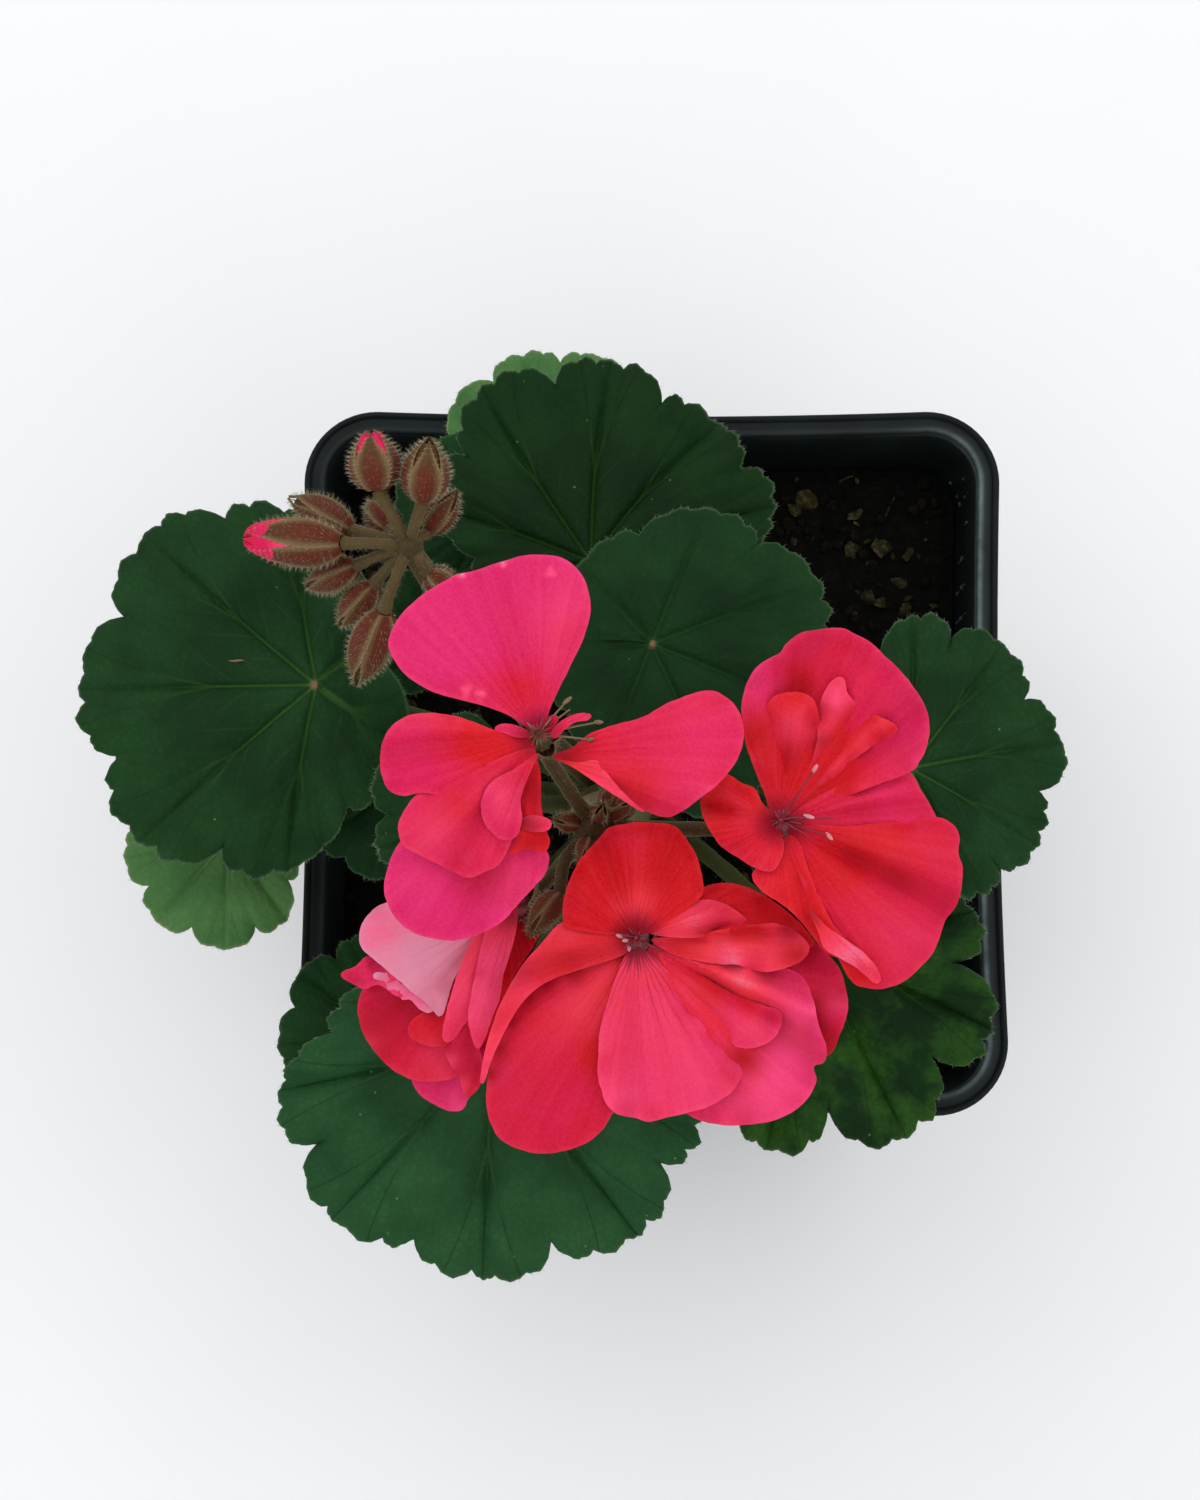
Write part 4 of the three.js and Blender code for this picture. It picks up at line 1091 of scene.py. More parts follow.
@dataclass(frozen=True)
class PeatFill:
    """The peat that fills the pot, with crumbs, bark chips and straw lying in its top.

    crumbs, chips and fibres are their numbers, and dust is that of the lime specks that dry on the
    wall above. hole_radius and hole_foot are the radius and lowest height of the stem's hole.
    """

    rings: int = 56
    relief: float = 1.0
    crumbs: int = 560
    chips: int = 400
    fibres: int = 26
    dust: int = 46
    hole_radius: float = 5.6
    hole_foot: float = 62.0
    seed: int = 11

    def height(self, x: float, y: float) -> float:
        """Height of the peat's top at a place."""
        broad = noise.fractal(((x + 31) / 14, y / 14, 2.0), 1.0, 2.0, 3)
        fine = noise.fractal((x / 3.1, (y + 17) / 3.1, 7.0), 0.8, 2.1, 4)
        return SOIL_TOP + 0.5 + self.relief * (0.9 * broad + 0.75 * fine)

    def surface(self) -> Skin:
        """The fill's whole skin, from the pot's floor to its rough top, with a hole for the stem."""
        shell = PotShell(corner_steps=16, side_steps=26)
        inset = POT_WALL + GAP
        rim = shell.ring(inset, SOIL_TOP)
        stem = stem_point(SOIL_TOP)
        rows = [shell.ring(inset + 1.2, POT_FLOOR + GAP), shell.ring(inset + 0.2, POT_FLOOR + GAP + 1.2)]
        rows += [shell.ring(inset, z) for z in (20, 40, 60, 80, SOIL_TOP - 0.8)]
        angles = np.arctan2(rim[:, 1] - stem[1], rim[:, 0] - stem[0])
        round_stem = np.stack([np.cos(angles), np.sin(angles)], axis=1)
        hole = stem[:2] + self.hole_radius * round_stem
        for t in np.linspace(0.0, 1.0, self.rings) ** 1.05:
            row = rim.copy()
            row[:, :2] = rim[:, :2] * (1 - t) + hole * t
            edge = float(rise(t, 0.0, 0.06))
            row[:, 2] = [
                (SOIL_TOP - 0.4) * (1 - edge) + self.height(x, y) * edge for x, y in row[:, :2]
            ]
            rows.append(row)
        deep = rows[-1].copy()
        deep[:, 2] = self.hole_foot
        rows.append(deep)
        return loft(np.array(rows))

    def lump(self, rng: np.random.Generator, size: Array, at: Array, rough: float) -> Skin:
        """One irregular grain: a squashed low ball with a broken surface."""
        rows, columns = 5, 8
        polar = np.linspace(0.32, math.pi - 0.32, rows)[:, None]
        angle = 2 * np.pi * np.arange(columns)[None, :] / columns
        ball = np.stack([np.sin(polar) * np.cos(angle), np.sin(polar) * np.sin(angle),
                         np.cos(polar) * np.ones_like(angle)], axis=2)
        ball = ball * (1 + rough * rng.uniform(-1, 1, ball.shape[:2]))[:, :, None]
        matrix = turn(2, rng.uniform(0, 360)) @ turn(1, rng.uniform(-35, 35)) @ turn(0, rng.uniform(-35, 35))
        return loft((ball[::-1] * size / 2) @ matrix.T + at)

    def scatter(self, rng: np.random.Generator) -> Array:
        """A random place on the peat's top, clear of the wall and the stem."""
        stem = stem_point(SOIL_TOP)
        while True:
            spot = rng.uniform(-48.0, 48.0, 2)
            corner = np.maximum(np.abs(spot) - 40.0, 0)
            if np.hypot(*corner) < 8.5 and np.hypot(*(spot - stem[:2])) > 8:
                return np.array([*spot, self.height(*spot)])

    def build(self, finishes: Finishes) -> None:
        """Makes the fill and what lies in its top."""
        body = Piece("peat_fill", Slot.PEAT, "soil")
        body.add(self.surface(), finishes.peat)
        body.finish()
        rng = np.random.default_rng(self.seed)
        litter = Piece("peat_litter", Slot.PEAT, "")
        for _ in range(self.crumbs):
            size = rng.uniform(0.9, 2.6) * rng.uniform(0.6, 1.2, 3)
            at = self.scatter(rng) + np.array([0, 0, 0.12 * size[2]])
            litter.add(self.lump(rng, size, at, 0.22), finishes.crumb)
        for _ in range(self.chips):
            long = rng.uniform(0.6, 1.7) if rng.uniform() < 0.5 else rng.uniform(1.8, 3.8)
            size = np.array([long, long * rng.uniform(0.5, 0.9), long * rng.uniform(0.25, 0.5)])
            litter.add(self.lump(rng, size, self.scatter(rng) + np.array([0, 0, 0.2]), 0.4), finishes.chip)
        shell = PotShell()
        for _ in range(self.dust):
            wall = shell.ring(POT_WALL + 0.06, rng.uniform(SOIL_TOP + 1.5, POT_HEIGHT - 5))
            wall = wall[wall[:, 0] > 30]
            spot = wall[np.abs(wall[:, 1] - rng.uniform(4, 47)).argmin()]
            size = rng.uniform(0.25, 0.7) * rng.uniform(0.7, 1.3, 3)
            litter.add(self.lump(rng, size, spot, 0.3), finishes.lime)
        for _ in range(self.fibres):
            at = self.scatter(rng)
            heading = rng.uniform(0, 2 * math.pi)
            reach = rng.uniform(1.5, 4.5)
            bend = rng.uniform(-0.8, 0.8)
            steps = np.linspace(-0.5, 0.5, 7)
            x = at[0] + reach * steps * math.cos(heading) - bend * steps ** 2 * math.sin(heading)
            y = at[1] + reach * steps * math.sin(heading) + bend * steps ** 2 * math.cos(heading)
            x, y = np.clip(x, -48, 48), np.clip(y, -48, 48)
            z = np.array([self.height(a, b) for a, b in zip(x, y)]) + 0.15
            line = np.stack([x, y, z], axis=1)
            radii = np.full(7, rng.uniform(0.12, 0.22))
            litter.add(loft(tube_rings(line, radii, 5)[0]), finishes.fibre)
        litter.finish()


def downy_tube(piece: Piece, line: Array, radii: Array, sides: int, skin: bpy.types.Material,
               down: bpy.types.Material, hairs_per_mm: float, rng: np.random.Generator,
               tone: Array | None = None, hair: float = 0.8, swell: float = 0.04) -> None:
    """Adds a stalk with the down that stands on it.

    Args:
        piece: the piece that takes the stalk.
        line: the stalk's centre line.
        radii: its radius at each point of the line.
        sides: how many sides its section has.
        skin: the stalk's finish.
        down: the hairs' finish.
        hairs_per_mm: hairs on each millimetre of its length.
        rng: the random source.
        tone: three numbers for the whole stalk.
        hair: the hairs' mean length.
        swell: share by which the section is uneven.
    """
    uneven = radii * (1 + swell * np.sin(np.arange(len(radii)) * 1.7 + rng.uniform(0, 6)))
    rings, outward = tube_rings(line, uneven, sides)
    tones = np.broadcast_to(np.zeros(3) if tone is None else tone, rings.shape).copy()
    piece.add(loft(rings, tone=tones), skin)
    run = float(np.linalg.norm(np.diff(line, axis=0), axis=1).sum())
    count = int(run * hairs_per_mm)
    row = rng.integers(1, len(line) - 1, count)
    between = rng.uniform(0, 1, count)[:, None]
    column = rng.integers(0, sides, count)
    roots = rings[row, column] * (1 - between) + rings[row - 1, column] * between
    lean = unit(np.gradient(line, axis=0))[row] * rng.normal(0.1, 0.35, (count, 1))
    directions = unit(outward[row, column] + lean + rng.normal(0, 0.25, (count, 3)))
    lengths = hair * rng.uniform(0.5, 1.3, count)
    piece.add(spikes(roots, directions, lengths, 0.02), down)


class Green(Enum):
    """The greens that the leaves have with their age, with a painted-shade and a painted-light copy of the
    mature green; each is a finish's name.
    """

    YOUNG = "young"
    MATURE = "leaf"
    PAINTED_SHADE = "painted_shade_leaf"
    PAINTED_LIGHT = "painted_light_leaf"
    QUIET = "quiet_leaf"


@dataclass(frozen=True)
class Leaf:
    """A leaf in its own frame: the stalk joins the blade at the origin and +X runs to the middle lobe.

    at is that joint in the pot's frame and stem the height where the stalk leaves the stem. reach,
    back and half run from the joint to the tip, to the base and to each side. knee_out and knee_up
    are shares of the way at which the stalk bends. lap lifts one basal lobe over the other, in mm.
    gap is half the angle between those lobes, and side shifts the tip sideways. mid is the middle
    lobe's share of the fan, and notch and scallop are the depths of the cuts between lobes and teeth.
    fold, cone, dome and wave shape the blade's height, as shares of its reach. patches is the
    strength of lighter blotches. flecks are dry curled specks, by shares of the fan and the reach.
    """

    name: str
    at: Point
    stem: float
    heading: float
    reach: float = 30
    back: float = 12
    half: float = 26
    side: float = 0
    gap: float = 14
    pitch: float = -4
    roll: float = 0
    mid: float = 0.13
    notch: float = 0.11
    scallop: float = 0.05
    teeth: int = 5
    lobes: tuple[float, ...] = (1, 1, 1, 1, 1, 1, 1)
    knee_out: float = 0.5
    knee_up: float = 0.72
    fold: float = 0.06
    cone: float = 0.12
    dome: float = -0.22
    wave: float = 0.03
    waves: float = 3
    lap: float = 0
    phase: float = 0
    green: Green = Green.MATURE
    patches: float = 0.0
    flecks: tuple[tuple[float, float], ...] = ()
    seed: int = 0

    @property
    def open_angle(self) -> float:
        """Half the angle that the fan of lobes opens to."""
        return math.pi - math.radians(self.gap)

    @property
    def lobe_ends(self) -> Array:
        """Shares of the half fan at which the lobes end."""
        return self.mid + (1 - self.mid) * np.array([0, 1 / 3, 2 / 3, 1])

    def lobe_at(self, share: Array) -> tuple[Array, Array]:
        """The lobe that each share of the fan falls in, and the place across that lobe."""
        ends = self.lobe_ends
        away = np.abs(share)
        sign = np.where(share < 0, -1, 1)
        step = np.minimum(np.searchsorted(ends, away - 1e-9), 3)
        low = np.where(step == 0, 0, ends[np.maximum(step - 1, 0)])
        across = 2 * (away - low) / (ends[step] - low) - 1
        return 3 + sign * step, np.where(step == 0, share / self.mid, sign * across)

    def cusps(self) -> Array:
        """The uneven places across each lobe where one scallop ends and the next begins."""
        rng = np.random.default_rng(self.seed + 700)
        even = np.tile(np.linspace(-1, 1, self.teeth + 1), (7, 1))
        even[:, 1:-1] += rng.uniform(-0.3, 0.3, (7, self.teeth - 1)) / self.teeth
        return even

    def shares(self, per_tooth: int) -> Array:
        """Fan shares with a column on every rib, cut and scallop."""
        bounds = np.concatenate([-self.lobe_ends[::-1], self.lobe_ends])
        columns = []
        for low, high, cusps in zip(bounds, bounds[1:], self.cusps()):
            even = np.arange(per_tooth * self.teeth) / per_tooth
            places = np.interp(even, np.arange(self.teeth + 1), cusps)
            across = np.unique(np.concatenate([places, [-0.05, 0.0, 0.05]]))
            columns.append(low + (high - low) * (across + 1) / 2)
        return np.concatenate([*columns, [1.0]])

    def surface(self, share: Array, rho: Array) -> tuple[Array, Array, Array]:
        """The blade's upper face.

        Args:
            share: places round the fan, from -1 to 1.
            rho: shares of the way from the joint to the margin.

        Returns:
            The points, the numbers for coords and the numbers for tone, as rings by columns.
        """
        rng = np.random.default_rng(self.seed + 400)
        angle = share * self.open_angle
        lobe, across = self.lobe_at(share)
        away = np.abs(across)
        x = (self.reach - self.back) / 2 + (self.reach + self.back) / 2 * np.cos(angle)
        y = self.half * np.sin(angle)
        end = (1 - np.abs(share)) * self.open_angle
        rounding = 1 - 0.36 * np.exp(-((end / 0.22) ** 2))
        neighbour = np.clip(lobe + np.where(across > 0, 1, -1), 0, 6)
        lengths = np.array(self.lobes)
        length = lengths[lobe] * (1 - 0.5 * away ** 2) + lengths[neighbour] * 0.5 * away ** 2
        cusps = self.cusps()
        marks = np.arange(self.teeth + 1)
        tooth_place = np.array([np.interp(a, cusps[k], marks) for a, k in zip(across, lobe)])
        depth = rng.uniform(0.35, 1.1, (7, self.teeth + 2))
        tooth = np.minimum(tooth_place.astype(int), self.teeth - 1)
        part = tooth_place - tooth
        uneven = depth[lobe, tooth] * (1 - part) + depth[lobe, tooth + 1] * part
        peak = 1 - np.abs(2 * part - 1) ** 1.25
        small = np.abs(np.sin(3 * np.pi * tooth_place + 0.6 * np.sin(7 * angle + self.seed)))
        ripple = 0.4 * np.abs(np.sin(np.pi * tooth_place)) + 0.38 * peak + 0.22 * small
        cut = -self.notch * away ** 3 - self.scallop * uneven * (1 - ripple)
        cut = np.where((lobe == 0) | (lobe == 6), cut * np.minimum(1, end / 0.5), cut)
        r = rho[:, None]
        scale = r * (length * rounding)[None] * (1 + cut[None] * r ** 3)
        pleat = 1 - (1 - away) ** 2
        lift = (self.fold * pleat[None] * r * (1.15 - 0.35 * r) + self.cone * r + self.dome * r ** 2
                + self.wave * r ** 3 * np.sin(self.waves * angle + self.phase)[None])
        radius = np.hypot(x, y) * length * rounding
        half_lobe = np.where(lobe == 3, self.mid, (1 - self.mid) / 6) * self.open_angle
        rib = r * radius[None] * np.sin(away * half_lobe)[None]
        out = r * radius[None]
        fork = 0.5 * np.clip((r - 0.42) / 0.58, 0, 1) ** 0.8
        branch = out * np.sin((fork - away[None]) * half_lobe[None])
        size = self.reach / 35
        rib_width = (0.42 * (1 - 0.6 * r) + 0.08) * (0.6 + 0.4 * size)
        apart = VEIN_SPACING * (0.5 + 0.5 * size)
        phase = (out - 1.15 * rib) / apart + 0.25 * np.sign(across)[None] + 0.37 * lobe[None]
        edge = (1 - r) * radius[None]
        furrow = -0.32 * np.exp(-((rib / 0.6) ** 2)) * (1 - rise(r, 0.75, 1.0))
        furrow -= 0.16 * np.exp(-((branch / 0.5) ** 2)) * rise(r, 0.5, 0.65) * (1 - rise(r, 0.8, 1.0))
        quilt = -0.05 * np.cos(2 * np.pi * phase) * rise(rib, 0.8, 3.0) * (1 - 0.4 * r)
        flutter = 0.016 * self.reach * r ** 5 * np.sin(angle * 11 + self.phase * 5)[None]
        flutter = flutter * (1 + 0.5 * np.sin(angle * 4.3 + self.seed))[None]
        flutter += 0.008 * self.reach * r ** 2 * np.sin(angle * 27 + self.seed * 2.1)[None]
        collar = 0.12 * np.exp(-((out / 1.0) ** 2))
        lapped = self.lap * (np.sign(share) * rise(np.abs(share), 0.8, 1.0))[None] * rise(r, 0.04, 0.35)
        z = self.reach * lift + furrow + quilt + flutter + collar + lapped
        points = np.stack([x[None] * scale, y[None] * scale + self.side * r ** 2, z], axis=2)
        coords = np.stack([np.minimum(rib, branch) / rib_width, phase, edge], axis=2)
        right = rise(share, -0.75, -0.4) * (1 - rise(share, 0.4, 0.8))
        patch = self.patches * right[None] * rise(r, 0.3, 0.5) * np.ones_like(rib)
        fade = rise(rib, 0.4, 1.2) * (1 - rise(away, 0.75, 1.0))[None] * (1 - 0.5 * r)
        tone = np.stack([r * np.ones_like(rib), patch, fade], axis=2)
        return points, coords, tone

    def blade(self) -> tuple[Skin, Array]:
        """The blade's closed skin, thin at its margin, and the margin's points."""
        share = self.shares(TOOTH_COLUMNS)
        rings = max(14, int(self.reach * 0.75))
        rho = np.linspace(0, 1, rings + 1)[1:] ** 0.9
        rho = rho / rho[-1]
        upper, coords, tone = self.surface(share, rho)
        rib = coords[:, :, 0]
        thinned = 1 - 0.75 * rise(rho, 0.8, 1.0)
        thick = BLADE_THICK * thinned[:, None] + RIB_THICK * np.exp(-(rib ** 2)) * (1 - rho)[:, None]
        lower = upper.copy()
        lower[:, :, 2] -= thick
        columns = len(share)
        centre = np.array([[0, 0, 0.12], [0, 0, -0.9]])
        points = np.vstack([upper.reshape(-1, 3), lower.reshape(-1, 3), centre])
        faces = wall_faces(rings, columns, False)
        low = rings * columns
        under = faces[:, ::-1] + low
        last = low - columns
        j = np.arange(columns - 1)
        rim = np.stack([last + j, last + j + low, last + j + 1 + low, last + j + 1], axis=1)
        rows = np.arange(rings - 1) * columns
        close = np.stack([rows, rows + low, rows + columns + low, rows + columns], axis=1) + columns - 1
        start = close[:, ::-1] - columns + 1
        top = 2 * low
        fan = np.stack([np.full(columns - 1, top), j, j + 1], axis=1)
        fan_low = np.stack([np.full(columns - 1, top + 1), j + 1 + low, j + low], axis=1)
        seam = np.array([[0, low, top + 1, top], [columns - 1 + low, columns - 1, top, top + 1]])
        groups = [faces, under, rim[:, ::-1], start, close, fan[:, ::-1], fan_low[:, ::-1], seam]
        centre_tone = np.zeros((2, 3))
        coords_all = np.vstack([coords.reshape(-1, 3)] * 2 + [np.zeros((2, 3)) + [0, 0, 10]])
        tone_all = np.vstack([tone.reshape(-1, 3)] * 2 + [centre_tone])
        placed = place(points, self.at, self.heading, self.pitch, self.roll)
        return Skin(placed, groups, coords_all, tone_all), upper

    def margin_hairs(self, upper: Array, rng: np.random.Generator) -> Skin:
        """The fringe of short hairs along the margin."""
        rim = upper[-1]
        inner = upper[-2]
        count = int(10 * self.reach)
        pick = rng.uniform(0, len(rim) - 1.001, count)
        low = pick.astype(int)
        part = (pick - low)[:, None]
        roots = rim[low] * (1 - part) + rim[low + 1] * part
        outward = unit(rim[low] - inner[low])
        directions = unit(outward + rng.normal(0, 0.35, (count, 3)))
        skin = spikes(roots, directions, rng.uniform(0.25, 0.75, count), 0.03)
        skin.points = place(skin.points, self.at, self.heading, self.pitch, self.roll)
        return skin

    def build(self, finishes: Finishes) -> None:
        """Makes the leaf with its stalk and down."""
        rng = np.random.default_rng(self.seed)
        slot = Slot.YOUNG if self.name.endswith("young") else Slot.LEAF
        piece = Piece(f"{self.name}_blade", slot, self.name)
        skin, upper = self.blade()
        piece.add(skin, getattr(finishes, self.green.value))
        piece.add(self.margin_hairs(upper, rng), finishes.leaf_down)
        steps = np.arange(len(FLECK_RADII))
        for share, rho in self.flecks:
            across = share + 0.012 * np.sin(np.linspace(-1, 1.6, len(steps)))
            spots, _, _ = self.surface(across, rho + np.linspace(-0.03, 0.03, len(steps)))
            curl = place(spots[steps, steps] + [0, 0, 0.12], self.at, self.heading, self.pitch, self.roll)
            piece.add(loft(tube_rings(curl, FLECK_RADII, 6)[0]), finishes.tan)
        foot = stem_point(self.stem)
        top = np.array(self.at) - [0, 0, 0.5]
        share = np.array([self.knee_out, self.knee_out, self.knee_up])
        knee = foot + (top - foot) * share
        line = smooth_path([foot, knee, top], 30)
        radii = PETIOLE_RADIUS * np.interp(np.linspace(0, 1, 31), [0, 0.5, 1], [1.25, 1, 0.9])
        downy_tube(piece, line, radii, 12, finishes.petiole, finishes.down, 3.0, rng,
                   tone=np.array([0.4, 0.1, 0.15]), hair=0.7)
        piece.finish()


LEAVES: tuple[Leaf, ...] = (
    Leaf("leaf_left_large", (-49, 3.5, 149), 114, 180, pitch=-11, reach=37, back=12.5, half=29, side=-1,
         gap=-10, lap=0.5, fold=0.085, lobes=(0.9, 0.93, 1, 1, 1, 1, 1.16), flecks=((-0.118, 0.325),),
         seed=1),
    Leaf("leaf_left_young", (-63.5, -15.5, 124), 98, 228, reach=17, back=8, half=14.5, pitch=-8,
         teeth=3, phase=1, green=Green.YOUNG, seed=2),
    Leaf("leaf_left_under", (-39, -9, 130), 106, 255, reach=14, back=7, half=13, pitch=-10, teeth=3, seed=3),
    Leaf("leaf_centre_small", (-19.5, -14.5, 160), 126, 200, knee_out=0.7, knee_up=0.55, reach=21.5,
         back=5, half=16, gap=40, pitch=0, teeth=4, seed=4),
    Leaf("leaf_front_young", (-39.5, -45.5, 118), 97, 142, reach=18, back=9, half=15, pitch=-5,
         teeth=3, phase=2, green=Green.MATURE, seed=5),
    Leaf("leaf_front_large", (-23.5, -47.5, 142), 110, 267, reach=35, back=13, half=31, gap=12,
         pitch=-12, phase=1, fold=0.12, green=Green.PAINTED_LIGHT, seed=6),
    Leaf("leaf_front_right", (22, -32, 132), 104, 298, reach=33, back=12, half=25, mid=0.16,
         notch=0.2, pitch=-10, phase=0.5, fold=0.14, green=Green.PAINTED_SHADE, patches=0.85, seed=7),
    Leaf("leaf_right", (36.5, -8, 145), 112, 12, pitch=-12, reach=24.5, back=10, half=22.5,
         lobes=(0.92, 0.9, 0.9, 1, 1, 1, 0.95), phase=2, seed=8),
    Leaf("leaf_back_large", (-9.5, 22, 147), 118, 90, reach=31.5, back=11, half=25, gap=16, pitch=-6,
         side=-3, lobes=(1, 0.97, 0.9, 1.02, 1.09, 1.05, 1), fold=0.1, green=Green.PAINTED_SHADE, seed=9),
    Leaf("leaf_back_upper", (-1, 6.5, 166), 131, 338, reach=27, back=14, half=22.5, gap=-12, lap=0.28,
         pitch=-4,
         lobes=(1.02, 0.93, 1, 1, 1, 1, 1.06), phase=1, green=Green.QUIET, seed=10),
    Leaf("leaf_back_young", (-14.5, 42, 122), 97, 108, reach=20, back=10, half=17, pitch=-8, teeth=4,
         green=Green.YOUNG, seed=11),
    Leaf("leaf_back_left", (-25, 31, 132), 106, 118, reach=15, back=7, half=13, pitch=0, teeth=3, seed=12),
    Leaf("leaf_right_low", (18, -8.5, 114), 95, 20, reach=20, back=9, half=17, pitch=0, teeth=4, seed=13),
    Leaf("leaf_left_low", (-34, 15, 120), 100, 140, reach=12, back=6, half=11, pitch=0, teeth=3, seed=14),
)


@dataclass(frozen=True)
class Hue:
    """A petal's colours: scarlet at the claw and at the rim, paleness, vein strength and shade."""

    claw: float = 0.8
    rim: float = 0.2
    pale: float = 0.0
    veins: float = 0.35
    deep: float = 0.0


class Tint(Enum):
    """The mixes of rose and scarlet that the petals show."""

    ROSE = Hue(0.4, 0.02, 0.02, 0.45)
    PINK = Hue(0.85, 0.42, 0.04, 0.4)
    CORAL = Hue(0.95, 0.7, 0.14, 0.4)
    CRIMSON = Hue(0.9, 0.66, 0.0, 0.6, 0.12)
    SCARLET = Hue(1.0, 1.0, 0.0, 0.62, 0.08)
    FLAME = Hue(1.0, 0.97, 0.03, 0.35, 0.03)
    BLUSH = Hue(0.2, 0.1, 0.85, 0.45)
    STREAKED = Hue(0.65, 0.4, 0.18, 0.85)


@dataclass(frozen=True)
class Crest:
    """A ridge that runs out from a petal's claw, or a furrow where its height is below zero.

    at is its heading and width its half width in degrees. height is its height at the rim and
    start the distance from the claw at which it begins, in mm.
    """

    at: float
    height: float
    width: float = 12
    start: float = 2


@dataclass(frozen=True)
class Swell:
    """A rounded rise on a petal, or a hollow where its height is below zero, in mm."""

    x: float
    y: float
    height: float
    reach: float


@dataclass(frozen=True)
class Wash:
    """A soft patch on a petal: warm shifts its hue between rose and scarlet, pale mostly adds painted
    highlight and deep adds painted shade; the smallest pale ones are whitish specks.
    """

    x: float
    y: float
    reach: float
    warm: float = 0
    pale: float = 0
    deep: float = 0


